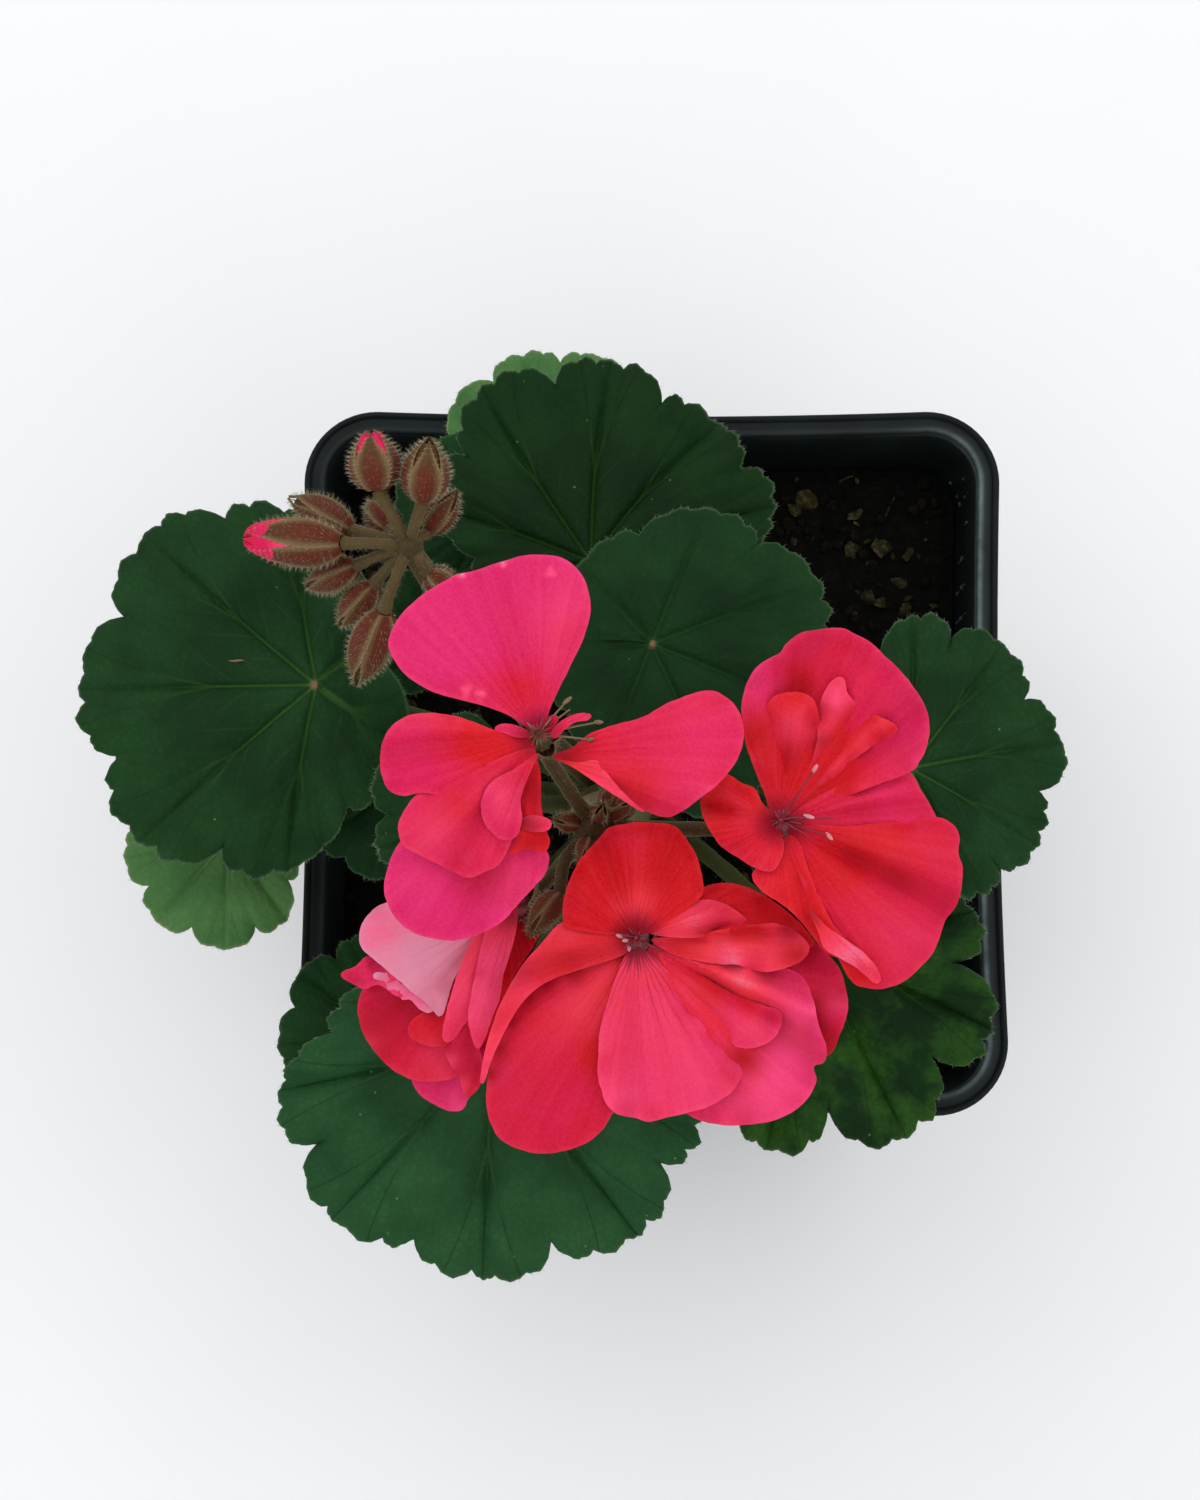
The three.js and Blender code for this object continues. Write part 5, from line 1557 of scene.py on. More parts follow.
@dataclass(frozen=True)
class Petal:
    """A petal as it lies round its floret's centre, seen from above, in mm.

    outline runs round it and claw is where it springs from. level is the height of its claw and far
    what its far end gains on that, arch lifts its middle, droop lowers its rim and frill waves it.
    """

    outline: tuple[tuple[float, float], ...]
    tint: Tint = Tint.PINK
    level: float = 0
    far: float = 0
    arch: float = 1.2
    droop: float = 0.7
    frill: float = 0.22
    crests: tuple[Crest, ...] = ()
    swells: tuple[Swell, ...] = ()
    washes: tuple[Wash, ...] = ()
    claw: tuple[float, float] = (0, 0)

    def folds(self, plan: Array, edge: Array, run: Array, rng: np.random.Generator) -> Array:
        """Heights of the folds over the plain petal.

        Args:
            plan: places in plan.
            edge: their distances from the outline.
            run: the nearest places on the outline, in mm round it.
            rng: the random source.

        Returns:
            The heights.
        """
        away = plan - np.array(self.claw)
        out = np.hypot(away[:, 0], away[:, 1])
        heading = np.degrees(np.arctan2(away[:, 1], away[:, 0]))
        height = np.zeros(len(plan))
        for crest in self.crests:
            turned = (heading - crest.at + 180) % 360 - 180
            height += (crest.height * rise(out, crest.start, crest.start + 9)
                       * np.exp(-((turned / crest.width) ** 2)))
        for swell in self.swells:
            gap = ((plan - np.array([swell.x, swell.y])) ** 2).sum(axis=1)
            height += swell.height * np.exp(-gap / swell.reach ** 2)
        waves = sum(
            rng.uniform(0.4, 1) * np.sin(2 * np.pi * run / length + rng.uniform(0, 6))
            for length in (4.1, 6.3, 9.7)
        )
        near = (1 - rise(edge, 0.0, 3.2)) * rise(out, 4, 11)
        height += self.frill * near * waves
        ripples = sum(
            rng.uniform(0.4, 1) * np.sin(np.radians(heading) * count + rng.uniform(0, 6))
            for count in (9, 14, 23)
        )
        return height + 0.07 * ripples * rise(out, 2, 12)

    def skin(self, at: Point, seed: int) -> Skin:
        """The petal's closed skin, thin at its rim.

        Args:
            at: the floret's centre.
            seed: the seed of the petal's own unevenness.

        Returns:
            The skin in the pot's frame.
        """
        rng = np.random.default_rng(seed)
        outline = smooth_loop(np.array(self.outline, float), PETAL_STEP)
        ahead = unit(np.roll(outline, -1, axis=0) - np.roll(outline, 1, axis=0))
        beyond = np.hypot(*(outline - np.array(self.claw)).T)
        turn_share = 2 * np.pi * np.arange(len(outline)) / len(outline)
        ragged = sum(
            rng.uniform(0.3, 1) * np.sin(k * turn_share + rng.uniform(0, 6)) / (1 + 0.06 * k)
            for k in (7, 11, 17, 29, 43)
        )
        outline = outline + np.stack([ahead[:, 1], -ahead[:, 0]], axis=1) * (
            0.055 * ragged * rise(beyond, 4, 10))[:, None]
        plan, triangles = fill_outline(outline, PETAL_FILL)
        edge, nearest = edge_distance(plan, outline)
        away = plan - np.array(self.claw)
        out = np.hypot(away[:, 0], away[:, 1])
        longest = float(out.max())
        share = out / longest
        folds = self.folds(plan, edge, nearest * PETAL_STEP, rng)
        bent = (1 - rise(edge, 0.0, 0.16 * longest)) ** 2 * rise(out, 4, 12)
        broad = np.array([noise.fractal((x / 7, y / 7, seed * 1.7), 1.0, 2.0, 2) for x, y in plan])
        height = (self.level + self.far * share ** 1.3 + self.arch * np.sin(np.pi * share ** 0.8)
                  - self.droop * bent + folds + 0.4 * broad * rise(out, 3, 12))
        centre = np.array(at)
        camera = np.array(CAMERA_PLACE)
        slide = height / (camera[2] - centre[2])
        spots = plan + centre[:2] + (camera[:2] - plan - centre[:2]) * slide[:, None]
        hue = self.tint.value
        warm = hue.claw + (hue.rim - hue.claw) * rise(share, 0.1, 0.8)
        # Painted highlight on the crests and a pale rim are added to the tint's own paleness; deep is painted
        # shade in the furrows
        pale = hue.pale + 0.16 * np.clip(folds / 2, 0, 1) + 0.12 * (1 - rise(edge, 0.0, 0.5))
        deep = hue.deep + 0.45 * np.clip(-folds / 1.4, 0, 1)
        # Washes shift the hue, paint highlight and shade, and add a few whitish specks
        for wash in self.washes:
            gap = ((plan - np.array([wash.x, wash.y])) ** 2).sum(axis=1)
            patch = np.exp(-gap / wash.reach ** 2)
            warm = warm + wash.warm * patch
            pale = pale + wash.pale * patch
            deep = deep + wash.deep * patch
        middle = plan.mean(axis=0) - np.array(self.claw)
        heading = np.arctan2(away[:, 1], away[:, 0]) - math.atan2(middle[1], middle[0])
        heading = (heading + np.pi) % (2 * np.pi) - np.pi
        tone = np.stack([np.clip(warm, 0, 1), np.clip(pale, 0, 1), np.full_like(warm, hue.veins)], axis=1)
        under = tone + [0, 0.14, 0]
        coords = np.stack([out / 30, heading, np.clip(deep, 0, 1)], axis=1)
        thick = PETAL_THICK - PETAL_THINNING * (1 - rise(edge, 0.0, 1.6))
        return plate(np.column_stack([spots, centre[2] + height]), triangles, thick, coords, tone, under)


class Heart(Enum):
    """What shows at the middle of a floret."""

    GREEN = "a downy green core with tan filaments"
    RED = "a crimson core with a few pale sacs"


@dataclass(frozen=True)
class Floret:
    """One open floret: its petals in their layers and the parts at its centre.

    lean tips the styles over to one side. tips are where the stamens end, from the centre in mm,
    and sacs the number of them that still carry pollen.
    """

    name: str
    at: Point
    facing: Point
    slot: Slot
    petals: tuple[Petal, ...]
    heart: Heart = Heart.RED
    lean: Point = (0, 0, 0)
    tips: tuple[Point, ...] = ()
    sacs: int = 2
    styles: int = 5
    hairs: int = 190
    seed: int = 0

    def centre(self, piece: Piece, finishes: Finishes, rng: np.random.Generator) -> None:
        """Adds the core, the style column with its hairs, and the stamens."""
        green = self.heart is Heart.GREEN
        up = unit(np.array(self.facing, float))
        tipped = unit(up + np.array(self.lean, float))
        at = np.array(self.at)
        line = at + np.outer(np.linspace(-1.6, 2.6, 12), up)
        radii = np.array([0.6, 1.5, 1.9, 1.7, 1.4, 1.1, 0.9, 0.8, 0.7, 0.6, 0.4, 0.2])
        rings, outward = tube_rings(line, radii, 14)
        piece.add(loft(rings), finishes.stalk if green else finishes.filament)
        row = rng.integers(3, 11, self.hairs)
        column = rng.integers(0, 14, self.hairs)
        directions = unit(outward[row, column] + tipped * rng.uniform(0.1, 1.2, (self.hairs, 1)))
        hairs = spikes(rings[row, column], directions, rng.uniform(0.5, 1.3, self.hairs), 0.035)
        piece.add(hairs, finishes.down if green else finishes.style)
        side = unit(np.cross(up, [0.3, 1.0, 0.1]))
        other = np.cross(up, side)
        for k in range(self.styles):
            angle = 2 * math.pi * k / self.styles + rng.uniform(-0.3, 0.3)
            out = math.cos(angle) * side + math.sin(angle) * other
            reach = rng.uniform(1.2, 2.0)
            foot = at + up * 2.2 + out * 0.4
            path = smooth_path([foot, foot + tipped * reach * 0.5 + out * reach * 0.3,
                                foot + tipped * reach * 0.7 + out * reach * 0.7], 8)
            piece.add(loft(tube_rings(path, np.linspace(0.2, 0.1, 9), 6)[0]), finishes.filament)
        for k, place_from_centre in enumerate(self.tips):
            tip = at + np.array(place_from_centre)
            out = unit(tip - at)
            foot = at + up * 1.0 + out * 0.8
            path = smooth_path([foot, (foot + tip) / 2 + up * 0.5, tip], 10)
            piece.add(loft(tube_rings(path, np.linspace(0.17, 0.11, 11), 6)[0]),
                      finishes.tan if green else finishes.filament)
            if k < self.sacs:
                sac = tip + np.outer(np.linspace(-0.75, 0.75, 9), unit(out + rng.normal(0, 0.3, 3)))
                fat = 0.3 * np.sin(np.linspace(0.25, math.pi - 0.25, 9)) ** 0.7
                piece.add(loft(tube_rings(sac, fat, 8)[0]), finishes.tan if green else finishes.pollen)

    def build(self, finishes: Finishes) -> None:
        """Makes the floret."""
        rng = np.random.default_rng(self.seed)
        piece = Piece(f"{self.name}_bloom", self.slot, self.name)
        for k, petal in enumerate(self.petals):
            piece.add(petal.skin(self.at, self.seed + k), finishes.petal)
        self.centre(piece, finishes, rng)
        piece.finish()


FLORETS: tuple[Floret, ...] = (
    Floret("floret_upper", (-16.1, -12.7, 206), (0, 0, 1), Slot.PINK, (
        Petal(((-1.5, -4), (-14, -10), (-17.6, -13.6), (-19.1, -16.5), (-19.6, -19.6), (-18.8, -22.5),
               (-16.8, -24.8), (-13.8, -26), (-10.8, -26.3), (-7.8, -25.7), (-5, -24.2), (-2.8, -22),
               (-0.9, -19.9), (0.8, -18), (1.4, -16), (1, -14.8), (-1, -13), (-1.5, -8)),
              Tint.ROSE, far=-6, swells=(Swell(-8, -20, -0.8, 4), Swell(-15, -19, 0.7, 4)),
              washes=(Wash(-7.5, -18, 3.4, warm=0.4, deep=0.1), Wash(-3, -19, 4, pale=0.1))),
        Petal(((-1, -0.2), (-3.5, 0.3), (-5.6, 0.8), (-8, 1.7), (-10.5, 2.6), (-12.8, 2.95), (-15, 3),
               (-17.4, 2.4), (-19.3, 0.8), (-20.2, -1.8), (-20.2, -4.5), (-19.3, -6.8), (-17.5, -7.7),
               (-15, -7.4), (-9, -7.5), (-3, -4), (-0.5, -1.8)),
              Tint.PINK, level=0.5, far=0.5, crests=(Crest(186, -0.9, 7), Crest(172, 0.9, 10)),
              washes=(Wash(-9, -1, 4, warm=0.4), Wash(-17, -5, 4, pale=-0.1))),
        Petal(((-1, -1.5), (-6, -3.2), (-12, -5.6), (-15.3, -7.3), (-17.1, -9.5), (-17.9, -11.9),
               (-17.2, -14.2), (-14.6, -15.6), (-11.8, -17), (-9, -18.3), (-6.6, -17.4), (-5, -16.6),
               (-4, -15), (-3, -12.5), (-2, -8), (-0.4, -3)),
              Tint.PINK, level=1.2, far=-1.2, crests=(Crest(222, 0.9, 8), Crest(236, -0.8, 6)),
              washes=(Wash(-10, -9, 3, warm=0.3, deep=0.15), Wash(-13, -12, 4, pale=0.08))),
        Petal(((-0.2, -2.2), (-3, -4.2), (-5.6, -5.6), (-7.1, -7.6), (-7.3, -9.8), (-6.4, -12), (-4.6, -13.4),
               (-2.8, -13), (-2.1, -11), (-2.2, -8), (-1, -4.6), (-0.2, -3)),
              Tint.PINK, level=2.6, far=0.4, arch=1.6, droop=1.0,
              washes=(Wash(-4.5, -8, 2.6, pale=0.22), Wash(-1.5, -6, 2, deep=0.3))),
        Petal(((-0.4, -3), (-2.2, -6), (-2.6, -10), (-2.4, -12.4), (-3.6, -15.2), (-1.4, -14.6), (0.8, -15),
               (1.5, -13.6), (1.1, -12.2), (0.4, -9), (0.3, -5)),
              Tint.SCARLET, level=1.4, far=-0.4,
              washes=(Wash(-0.8, -7, 3, deep=0.7), Wash(-1, -14, 1.6, deep=0.4))),
        Petal(((-2.6, -11.2), (-1.4, -10.3), (0.2, -10.3), (1.6, -10.9), (1.5, -12), (0.2, -12.4),
               (-1.6, -12.2)),
              Tint.CORAL, level=1.6, far=0.8, arch=0.5, claw=(-2.8, -12)),
        Petal(((-0.8, 0.7), (-4, 2.8), (-8, 4.2), (-12, 5.2), (-15, 6.5), (-17.6, 8.5), (-19.1, 10.8),
               (-19.3, 12.7), (-18.3, 15), (-16.5, 17.2), (-14, 19.2), (-11, 20.9), (-8, 21.7), (-5, 22.8),
               (-2, 23.6), (1, 23.7), (3.6, 23), (5.5, 21.2), (6.5, 18.7), (6.6, 16), (5.8, 12.8),
               (4.3, 9.5), (2.8, 6.5), (1.5, 3.6), (0.7, 1.2)),
              Tint.ROSE, level=0.6, far=2.5, frill=0.12, arch=0.8,
              crests=(Crest(78, 0.7, 12), Crest(104, -0.35, 12), Crest(140, 0.3, 14)),
              washes=(Wash(-6, 20, 7, warm=-0.1), Wash(3, 15, 5, pale=0.1, warm=0.3),
                      Wash(-2.6, 6, 3.4, warm=0.5),
                      Wash(-10, 21.2, 0.45, pale=0.9), Wash(-4.6, 22.6, 0.45, pale=0.9),
                      Wash(1.5, 21.4, 0.4, pale=0.8),
                      Wash(-9.3, 6, 0.45, pale=0.9), Wash(-7.5, 5.5, 0.45, pale=0.9))),
        Petal(((1.8, -2.6), (4.4, -1.4), (6.7, 0.4), (10, 1.5), (13.5, 2.6), (17.1, 4.5), (20.7, 5.8),
               (22.9, 5.8), (25.2, 4), (26.4, 0.9), (25.8, -2.3), (23.8, -5.4), (20.7, -8.1), (18, -9.9),
               (16.2, -10.5), (13.9, -9.8), (10.8, -8), (7.2, -5.6), (4.5, -3.9)),
              Tint.PINK, level=0.4, far=1, crests=(Crest(-30, -1.3, 7), Crest(-12, 0.8, 9)),
              claw=(1.5, -2.4),
              washes=(Wash(13, -6, 4, warm=0.4, deep=0.12), Wash(20, 2, 6, pale=0.06),
                      Wash(5, -1.5, 1.8, deep=0.6))),
        Petal(((2, -2.9), (5, -3.4), (7.6, -3.2), (9.4, -5.6), (11.6, -8), (13.6, -9.8), (10.8, -8.3),
               (7.2, -5.9), (4.5, -4.1)),
              Tint.CORAL, level=1.6, far=0.6, arch=0.3, droop=0.2, claw=(1.5, -2.4),
              washes=(Wash(8, -5.5, 4, pale=0.18),)),
        Petal(((-0.8, 0), (-2.6, -0.2), (-4.4, 0.4), (-5.7, 0.9), (-4.8, 1.6), (-3.2, 1.5), (-1.6, 0.9)),
              Tint.PINK, level=1.2, far=0.8, arch=0.5),
        Petal(((1.4, 0.2), (2.8, 1.9), (4.8, 2.9), (6.7, 2.9), (6.4, 2.1), (4.7, 1.8), (3.3, 0.8),
               (2.2, -0.3)),
              Tint.PINK, level=1.6, far=1.4, arch=0.9),
        Petal(((0.6, 0.6), (0.9, 2), (1.8, 2.8), (2.6, 2.4), (2.2, 1.4), (1.2, 0.2)),
              Tint.CRIMSON, level=1.4, far=1.2, arch=0.4),
    ), Heart.GREEN, (0.6, 0.2, 0),
           tips=((3.7, 4.2, 2.6), (7.7, 1.5, 2), (6.6, -0.7, 1.6), (4.1, 3.1, 2.4), (1.7, 1.9, 3),
                 (-1.4, 1.3, 2.6)),
           sacs=3, seed=21),
    Floret("floret_right", (15.2, -22.8, 198), (0, 0, 1), Slot.RED, (
        Petal(((1, 0.6), (5, 3.4), (10, 6), (14, 7), (16.9, 6.6), (18.6, 3.9), (20.2, 0.9), (20, -0.8),
               (10, -1.4), (2, -0.7)),
              Tint.PINK, level=-0.4, far=0.5, crests=(Crest(16, 0.6, 6), Crest(7, -0.9, 5)),
              washes=(Wash(9, 1, 4, deep=0.12),)),
        Petal(((2, -0.3), (8, -0.5), (14, 0), (18, 0.5), (20.6, 0.7), (22.5, -0.3), (23.3, -2), (23.1, -4),
               (23.7, -6), (23.5, -8.5), (22.7, -11), (21.3, -12.8), (20.6, -15), (19.5, -17.3),
               (17.5, -19.4), (15.3, -21), (13, -21.7), (11, -21.6), (9.2, -20.8), (7, -17), (4.6, -12),
               (2.4, -7), (1, -2.2)),
              Tint.CRIMSON, level=0.2, far=-1, frill=0.3,
              crests=(Crest(-10, 1.3, 10), Crest(-26, -1.3, 5), Crest(-45, 1.0, 11)),
              washes=(Wash(13, -3.5, 6, warm=0.35, pale=0.06), Wash(15, -15, 6, warm=-0.2, pale=0.05),
                      Wash(9.6, -5, 3, deep=0.3), Wash(15, -7.5, 2.4, deep=0.3),
                      Wash(9.6, -19, 3, warm=0.4))),
        Petal(((-0.8, 1.2), (-1.9, 3.5), (-2.9, 6), (-4, 9), (-4.6, 11.4), (-4.9, 14), (-4.7, 16.6),
               (-3.9, 19), (-2.4, 20.9), (0.1, 22.2), (1, 23.5), (2.7, 24.8), (5, 25.4), (8.3, 25.6),
               (10.5, 24.5), (12.2, 23.5), (14, 21.8), (16, 19.8), (17.7, 17.5), (19, 15.3), (19.5, 12.5),
               (19.2, 10), (18.2, 8), (16.7, 6.5), (10, 3.9), (4, 1.2)),
              Tint.PINK, level=0.6, far=6, arch=-2.2, droop=-1.0,
              crests=(Crest(98, 1.0, 7), Crest(82, -0.8, 8), Crest(38, -0.6, 8), Crest(28, 0.9, 8)),
              washes=(Wash(3, 18.4, 2.4, warm=0.4, deep=0.25), Wash(-2.8, 11.5, 2.6, deep=0.25, warm=0.4),
                      Wash(15.5, 10, 3, deep=0.2), Wash(-3, 18, 3, warm=-0.3), Wash(17.5, 12, 3, warm=-0.25),
                      Wash(8, 22, 5, warm=0.2), Wash(6, 10, 6, warm=0.5, deep=0.2))),
        Petal(((0.3, 1), (-0.8, 5), (-1.5, 9), (-1.9, 12.4), (-1.8, 14.8), (-0.9, 16.4), (0.8, 17.1),
               (2.8, 17.1),
               (4.4, 16.3), (5.2, 14), (5.2, 11), (4.2, 6.4), (1.8, 1)),
              Tint.FLAME, level=0.4, far=3.1, arch=-2.1, droop=0.5, swells=(Swell(1.5, 13, 1.4, 3.2),),
              crests=(Crest(98, -0.5, 5), Crest(80, 0.6, 5)),
              washes=(Wash(1.4, 13.2, 2.8, pale=0.12, warm=-0.25), Wash(0.9, 8.6, 1.8, deep=0.45),
                      Wash(-0.6, 5, 2.6, deep=0.45), Wash(4.8, 13, 1.2, deep=0.5))),
        Petal(((0.9, 1), (3.4, 6), (4.8, 10), (5, 13.4), (5.4, 16), (6.4, 18), (7.7, 19.2), (8.6, 18.8),
               (9, 17), (10.6, 15.2), (13, 14), (15, 13), (15.4, 12), (14.2, 10.9), (11.6, 9.6), (8.4, 7),
               (4.4, 2.8), (1.8, 0.6)),
              Tint.CORAL, level=0.5, far=3.6, arch=-1.9, frill=0.35,
              crests=(Crest(64, 1.3, 7), Crest(54, -1.0, 5), Crest(44, 1.2, 6), Crest(37, -0.6, 4)),
              washes=(Wash(7.2, 16.4, 2.2, pale=0.2, warm=-0.3), Wash(12.6, 12.6, 3, warm=0.4, pale=-0.05),
                      Wash(5.4, 10.6, 1.8, deep=0.5), Wash(4, 5, 2.6, deep=0.3), Wash(9, 12, 3, warm=0.3),
                      Wash(9.2, 13.8, 1.4, deep=0.25))),
        Petal(((-0.5, 0.8), (-2.2, 2.4), (-3.2, 4.4), (-5, 5.2), (-6.9, 6.3), (-8.8, 4.7), (-10.3, 2.9),
               (-10, 0.8), (-9.2, -1), (-7.6, -3.2), (-5.4, -4.7), (-3.4, -5.9), (-1, -6.4), (0.4, -4),
               (0.3, -1.6)),
              Tint.FLAME, level=0.2, far=1, arch=2.0, frill=0.5,
              crests=(Crest(150, 1.4, 8), Crest(166, -1.5, 5), Crest(183, 1.4, 8), Crest(206, -1.6, 6)),
              washes=(Wash(-2, 0, 2, deep=0.3), Wash(-1.6, -4.6, 1.8, pale=0.1), Wash(-4, 1, 2, pale=0.1))),
        Petal(((0.8, -1.8), (-1.5, -4.5), (-3.7, -6.8), (-2.2, -9.2), (0.4, -10.9), (2.6, -12.9),
               (4.6, -15.6),
               (6.4, -17.3), (8.2, -17.8), (9.2, -16.8), (6.8, -13.2), (5, -9.8), (3.6, -6), (2.4, -2.4)),
              Tint.FLAME, level=0.5, far=0.5, arch=0.7, frill=0.35,
              crests=(Crest(-58, 0.8, 7), Crest(-74, -0.9, 6), Crest(-100, 0.5, 8)),
              washes=(Wash(0, -7, 3, warm=0.1, pale=0.05),)),
        Petal(((3.6, -11.2), (6, -13.6), (8.4, -15.3), (10.6, -16.9), (12.3, -18.8), (12.9, -20.6),
               (11.9, -20.8),
               (9.8, -19), (7.4, -17.6), (5.6, -16.4), (4.8, -14.2)),
              Tint.CORAL, level=1.4, far=-0.2, arch=0.7, claw=(3, -10.6), frill=0.5,
              crests=(Crest(-46, 0.8, 6), Crest(-32, -0.7, 5)),
              washes=(Wash(9, -17, 3.2, pale=0.4, warm=-0.3),)),
    ), lean=(0.9, -0.1, 0),
           tips=((4.3, 6.3, 5), (6.2, -2.2, 3), (3.6, 0.3, 3.4), (2.6, -0.6, 3), (6.8, 0.2, 2.6),
                 (4, -2.4, 2.4)),
           sacs=3, seed=22),
    Floret("floret_front", (-3.5, -37.5, 192), (0, 0, 1), Slot.RED, (
        Petal(((10, 3), (16, 4), (20.5, 2.4), (24, -0.8), (26.8, -4.2), (27.7, -8.5), (26.8, -12),
               (24.9, -15.2),
               (20, -14), (10, -6)),
              Tint.CRIMSON, level=-0.6, far=-1.5, frill=0.4, crests=(Crest(-27, -1.6, 5), Crest(-16, 0.7, 6)),
              washes=(Wash(26, -8, 2.2, warm=-0.3, pale=0.15), Wash(23.4, -8, 2.4, deep=0.6),
                      Wash(23.5, -13, 2.2, deep=0.5), Wash(22.4, -2.2, 2, deep=0.6))),
        Petal(((2, 1.6), (5, 4.4), (8.5, 6.7), (12, 7.5), (15.5, 6.5), (19, 4.4), (22, 1.6), (23, -1),
               (16, -2),
               (6, 0)),
              Tint.SCARLET, level=0, far=1.4, arch=1.4, frill=0.3, crests=(Crest(24, 0.5, 8),),
              washes=(Wash(15, 2, 4, deep=0.35),)),
        Petal(((1.6, 1), (4.4, 3.3), (7.6, 5), (10.2, 5.2), (12.6, 4.2), (14.4, 2.8), (15, 1.4), (12, 0.6),
               (6, 0.2)),
              Tint.CORAL, level=1, far=2, arch=1.2, crests=(Crest(20, 0.9, 8), Crest(6, -1, 6)),
              washes=(Wash(7.6, 2.2, 3, pale=0.35), Wash(11, 1, 3, deep=0.5))),
        Petal(((3, -0.4), (9, -2), (14, -3), (18.4, -3.5), (21.5, -4.6), (23.1, -7.5), (23.8, -11),
               (24.8, -14.3),
               (24.5, -16.1), (23.2, -16.6), (23.5, -18.5), (22.3, -20.8), (19.5, -23), (15.5, -24.1),
               (11, -24.2), (7, -23), (3, -20), (1.2, -10), (1, -3)),
              Tint.PINK, level=0.6, far=-1.0, frill=0.4, arch=1.2,
              crests=(Crest(-22, 1.7, 5), Crest(-31, -1.5, 6), Crest(-47, 1.0, 9), Crest(-60, -0.6, 6)),
              washes=(Wash(14, -5.8, 3.2, pale=0.4), Wash(8, -4, 4, pale=0.2),
                      Wash(18.4, -10.6, 1.5, deep=0.3),
                      Wash(20, -16, 7, warm=-0.45, pale=0.06),
                      Wash(20, -12, 4, pale=0.25), Wash(15, -21, 5, pale=0.2),
                      Wash(14, -15.6, 2.6, deep=0.8, warm=0.6),
                      Wash(13, -9, 5, warm=0.5))),
        Petal(((2, 0), (6, 0.4), (11, 1.2), (16, 2), (19, 2), (21.4, 0.8), (22.7, -1.2), (21.6, -2.9),
               (20, -3.6),
               (17.6, -4.2), (15.2, -4), (13, -3.3), (9.6, -3.1), (5, -2)),
              Tint.CORAL, level=1.2, far=1.8, arch=1.2, frill=0.6,
              crests=(Crest(-3, 1.2, 5), Crest(4, -1.0, 4), Crest(-12, 0.7, 4), Crest(9, 0.6, 3)),
              washes=(Wash(12, -2.4, 4, pale=0.3, warm=-0.2), Wash(15, 1, 4, warm=0.4, deep=0.15),
                      Wash(8, 0.8, 2.4, warm=0.4, deep=0.3), Wash(20.8, -2, 2.0, deep=0.5, warm=0.4),
                      Wash(5, 0, 2.6, deep=0.5))),
        Petal(((-1.5, -1.2), (-5.5, -3.2), (-10.5, -4.7), (-13.8, -6.8), (-16, -9.8), (-17.8, -13),
               (-19, -16.5),
               (-19.5, -20), (-19.3, -23), (-18.1, -25.5), (-16, -27), (-13, -27.9), (-10, -27.7),
               (-7, -26.8), (-4.8, -25.2), (-3.3, -23.2), (-2, -20), (-2, -10), (-0.5, -3)),
              Tint.CRIMSON, level=0.5, far=-4.6, arch=1.3,
              crests=(Crest(246, 0.3, 8), Crest(226, 0.9, 9)),
              washes=(Wash(-3, -7, 5, pale=0.3), Wash(-8, -10, 4, pale=0.14),
                      Wash(-5, -16, 3, warm=0.4, deep=0.1), Wash(-15, -20, 6, deep=0.12),
                      Wash(-8, -4.6, 1.5, deep=0.7), Wash(-11.4, -5.6, 1.5, deep=0.8),
                      Wash(-14.2, -7.6, 1.6, deep=0.8),
                      Wash(-16.4, -10.6, 1.6, deep=0.8), Wash(-18.2, -14.2, 1.5, deep=0.8),
                      Wash(-19.2, -17.6, 1.2, deep=0.7))),
        Petal(((-0.8, 0.9), (-5, 2), (-9.3, 2.5), (-12.3, -0.4), (-15.3, -4), (-17.6, -8.2), (-19.3, -13),
               (-20.3, -17.8), (-19.9, -18.8), (-18.7, -15.5), (-16.7, -11.2), (-14.1, -7.4), (-10.5, -5),
               (-5.5, -3.4), (-1, -1.6)),
              Tint.CORAL, level=1.4, far=-0.8, arch=1.2, frill=0.1,
              crests=(Crest(176, 0.4, 8), Crest(196, -1.2, 7)),
              washes=(Wash(-10, 0, 4, pale=0.12), Wash(-8, -3, 3, deep=0.3, warm=0.2),
                      Wash(-16, -7, 3, pale=0.16), Wash(-19, -14, 3, pale=0.16),
                      Wash(-4, -1.4, 2, deep=0.3))),
        Petal(((7, -7), (12, -10.6), (16.4, -13), (16, -14.6), (14.6, -16.6), (13.6, -18.2), (11, -15.5),
               (8, -11)),
              Tint.SCARLET, level=0.8, far=0.2,
              washes=(Wash(14.4, -15.2, 2.6, deep=0.75), Wash(12, -12, 2, deep=0.4))),
        Petal(((-1, -1.6), (-3, -6), (-4.5, -11), (-5, -15.6), (-4.9, -18.4), (-4.5, -19.6), (-4, -21.2),
               (-2.6, -22.7), (0, -23.4), (1.5, -23.8), (4, -23.2), (6, -22.8), (9, -22), (12, -20.3),
               (13.7, -18), (14.3, -16.5), (13.4, -14.8), (12.2, -13.4), (10.4, -11.8), (8, -9), (4, -4),
               (1.5, -1.6)),
              Tint.STREAKED, level=0.9, far=1.2, arch=1.2, frill=0.35, droop=0.7,
              crests=(Crest(252, 0.8, 6), Crest(266, -0.5, 5), Crest(292, 1.1, 9), Crest(314, -0.8, 6)),
              washes=(Wash(-3, -20.5, 2.4, pale=0.16), Wash(1, -9, 6, pale=0.05),
                      Wash(12.6, -17, 3, deep=0.2),
                      Wash(0.6, -3.4, 2.4, pale=0.15))),
        Petal(((3, -1.3), (8, -4.3), (12, -6.7), (16, -8.4), (18.5, -9.2), (19.1, -10.6), (18.2, -12.7),
               (16.2, -14), (14, -14.2), (12, -13.5), (9, -10.4), (4, -4)),
              Tint.PINK, level=0.7, far=2.2, arch=0.5, droop=0.8,
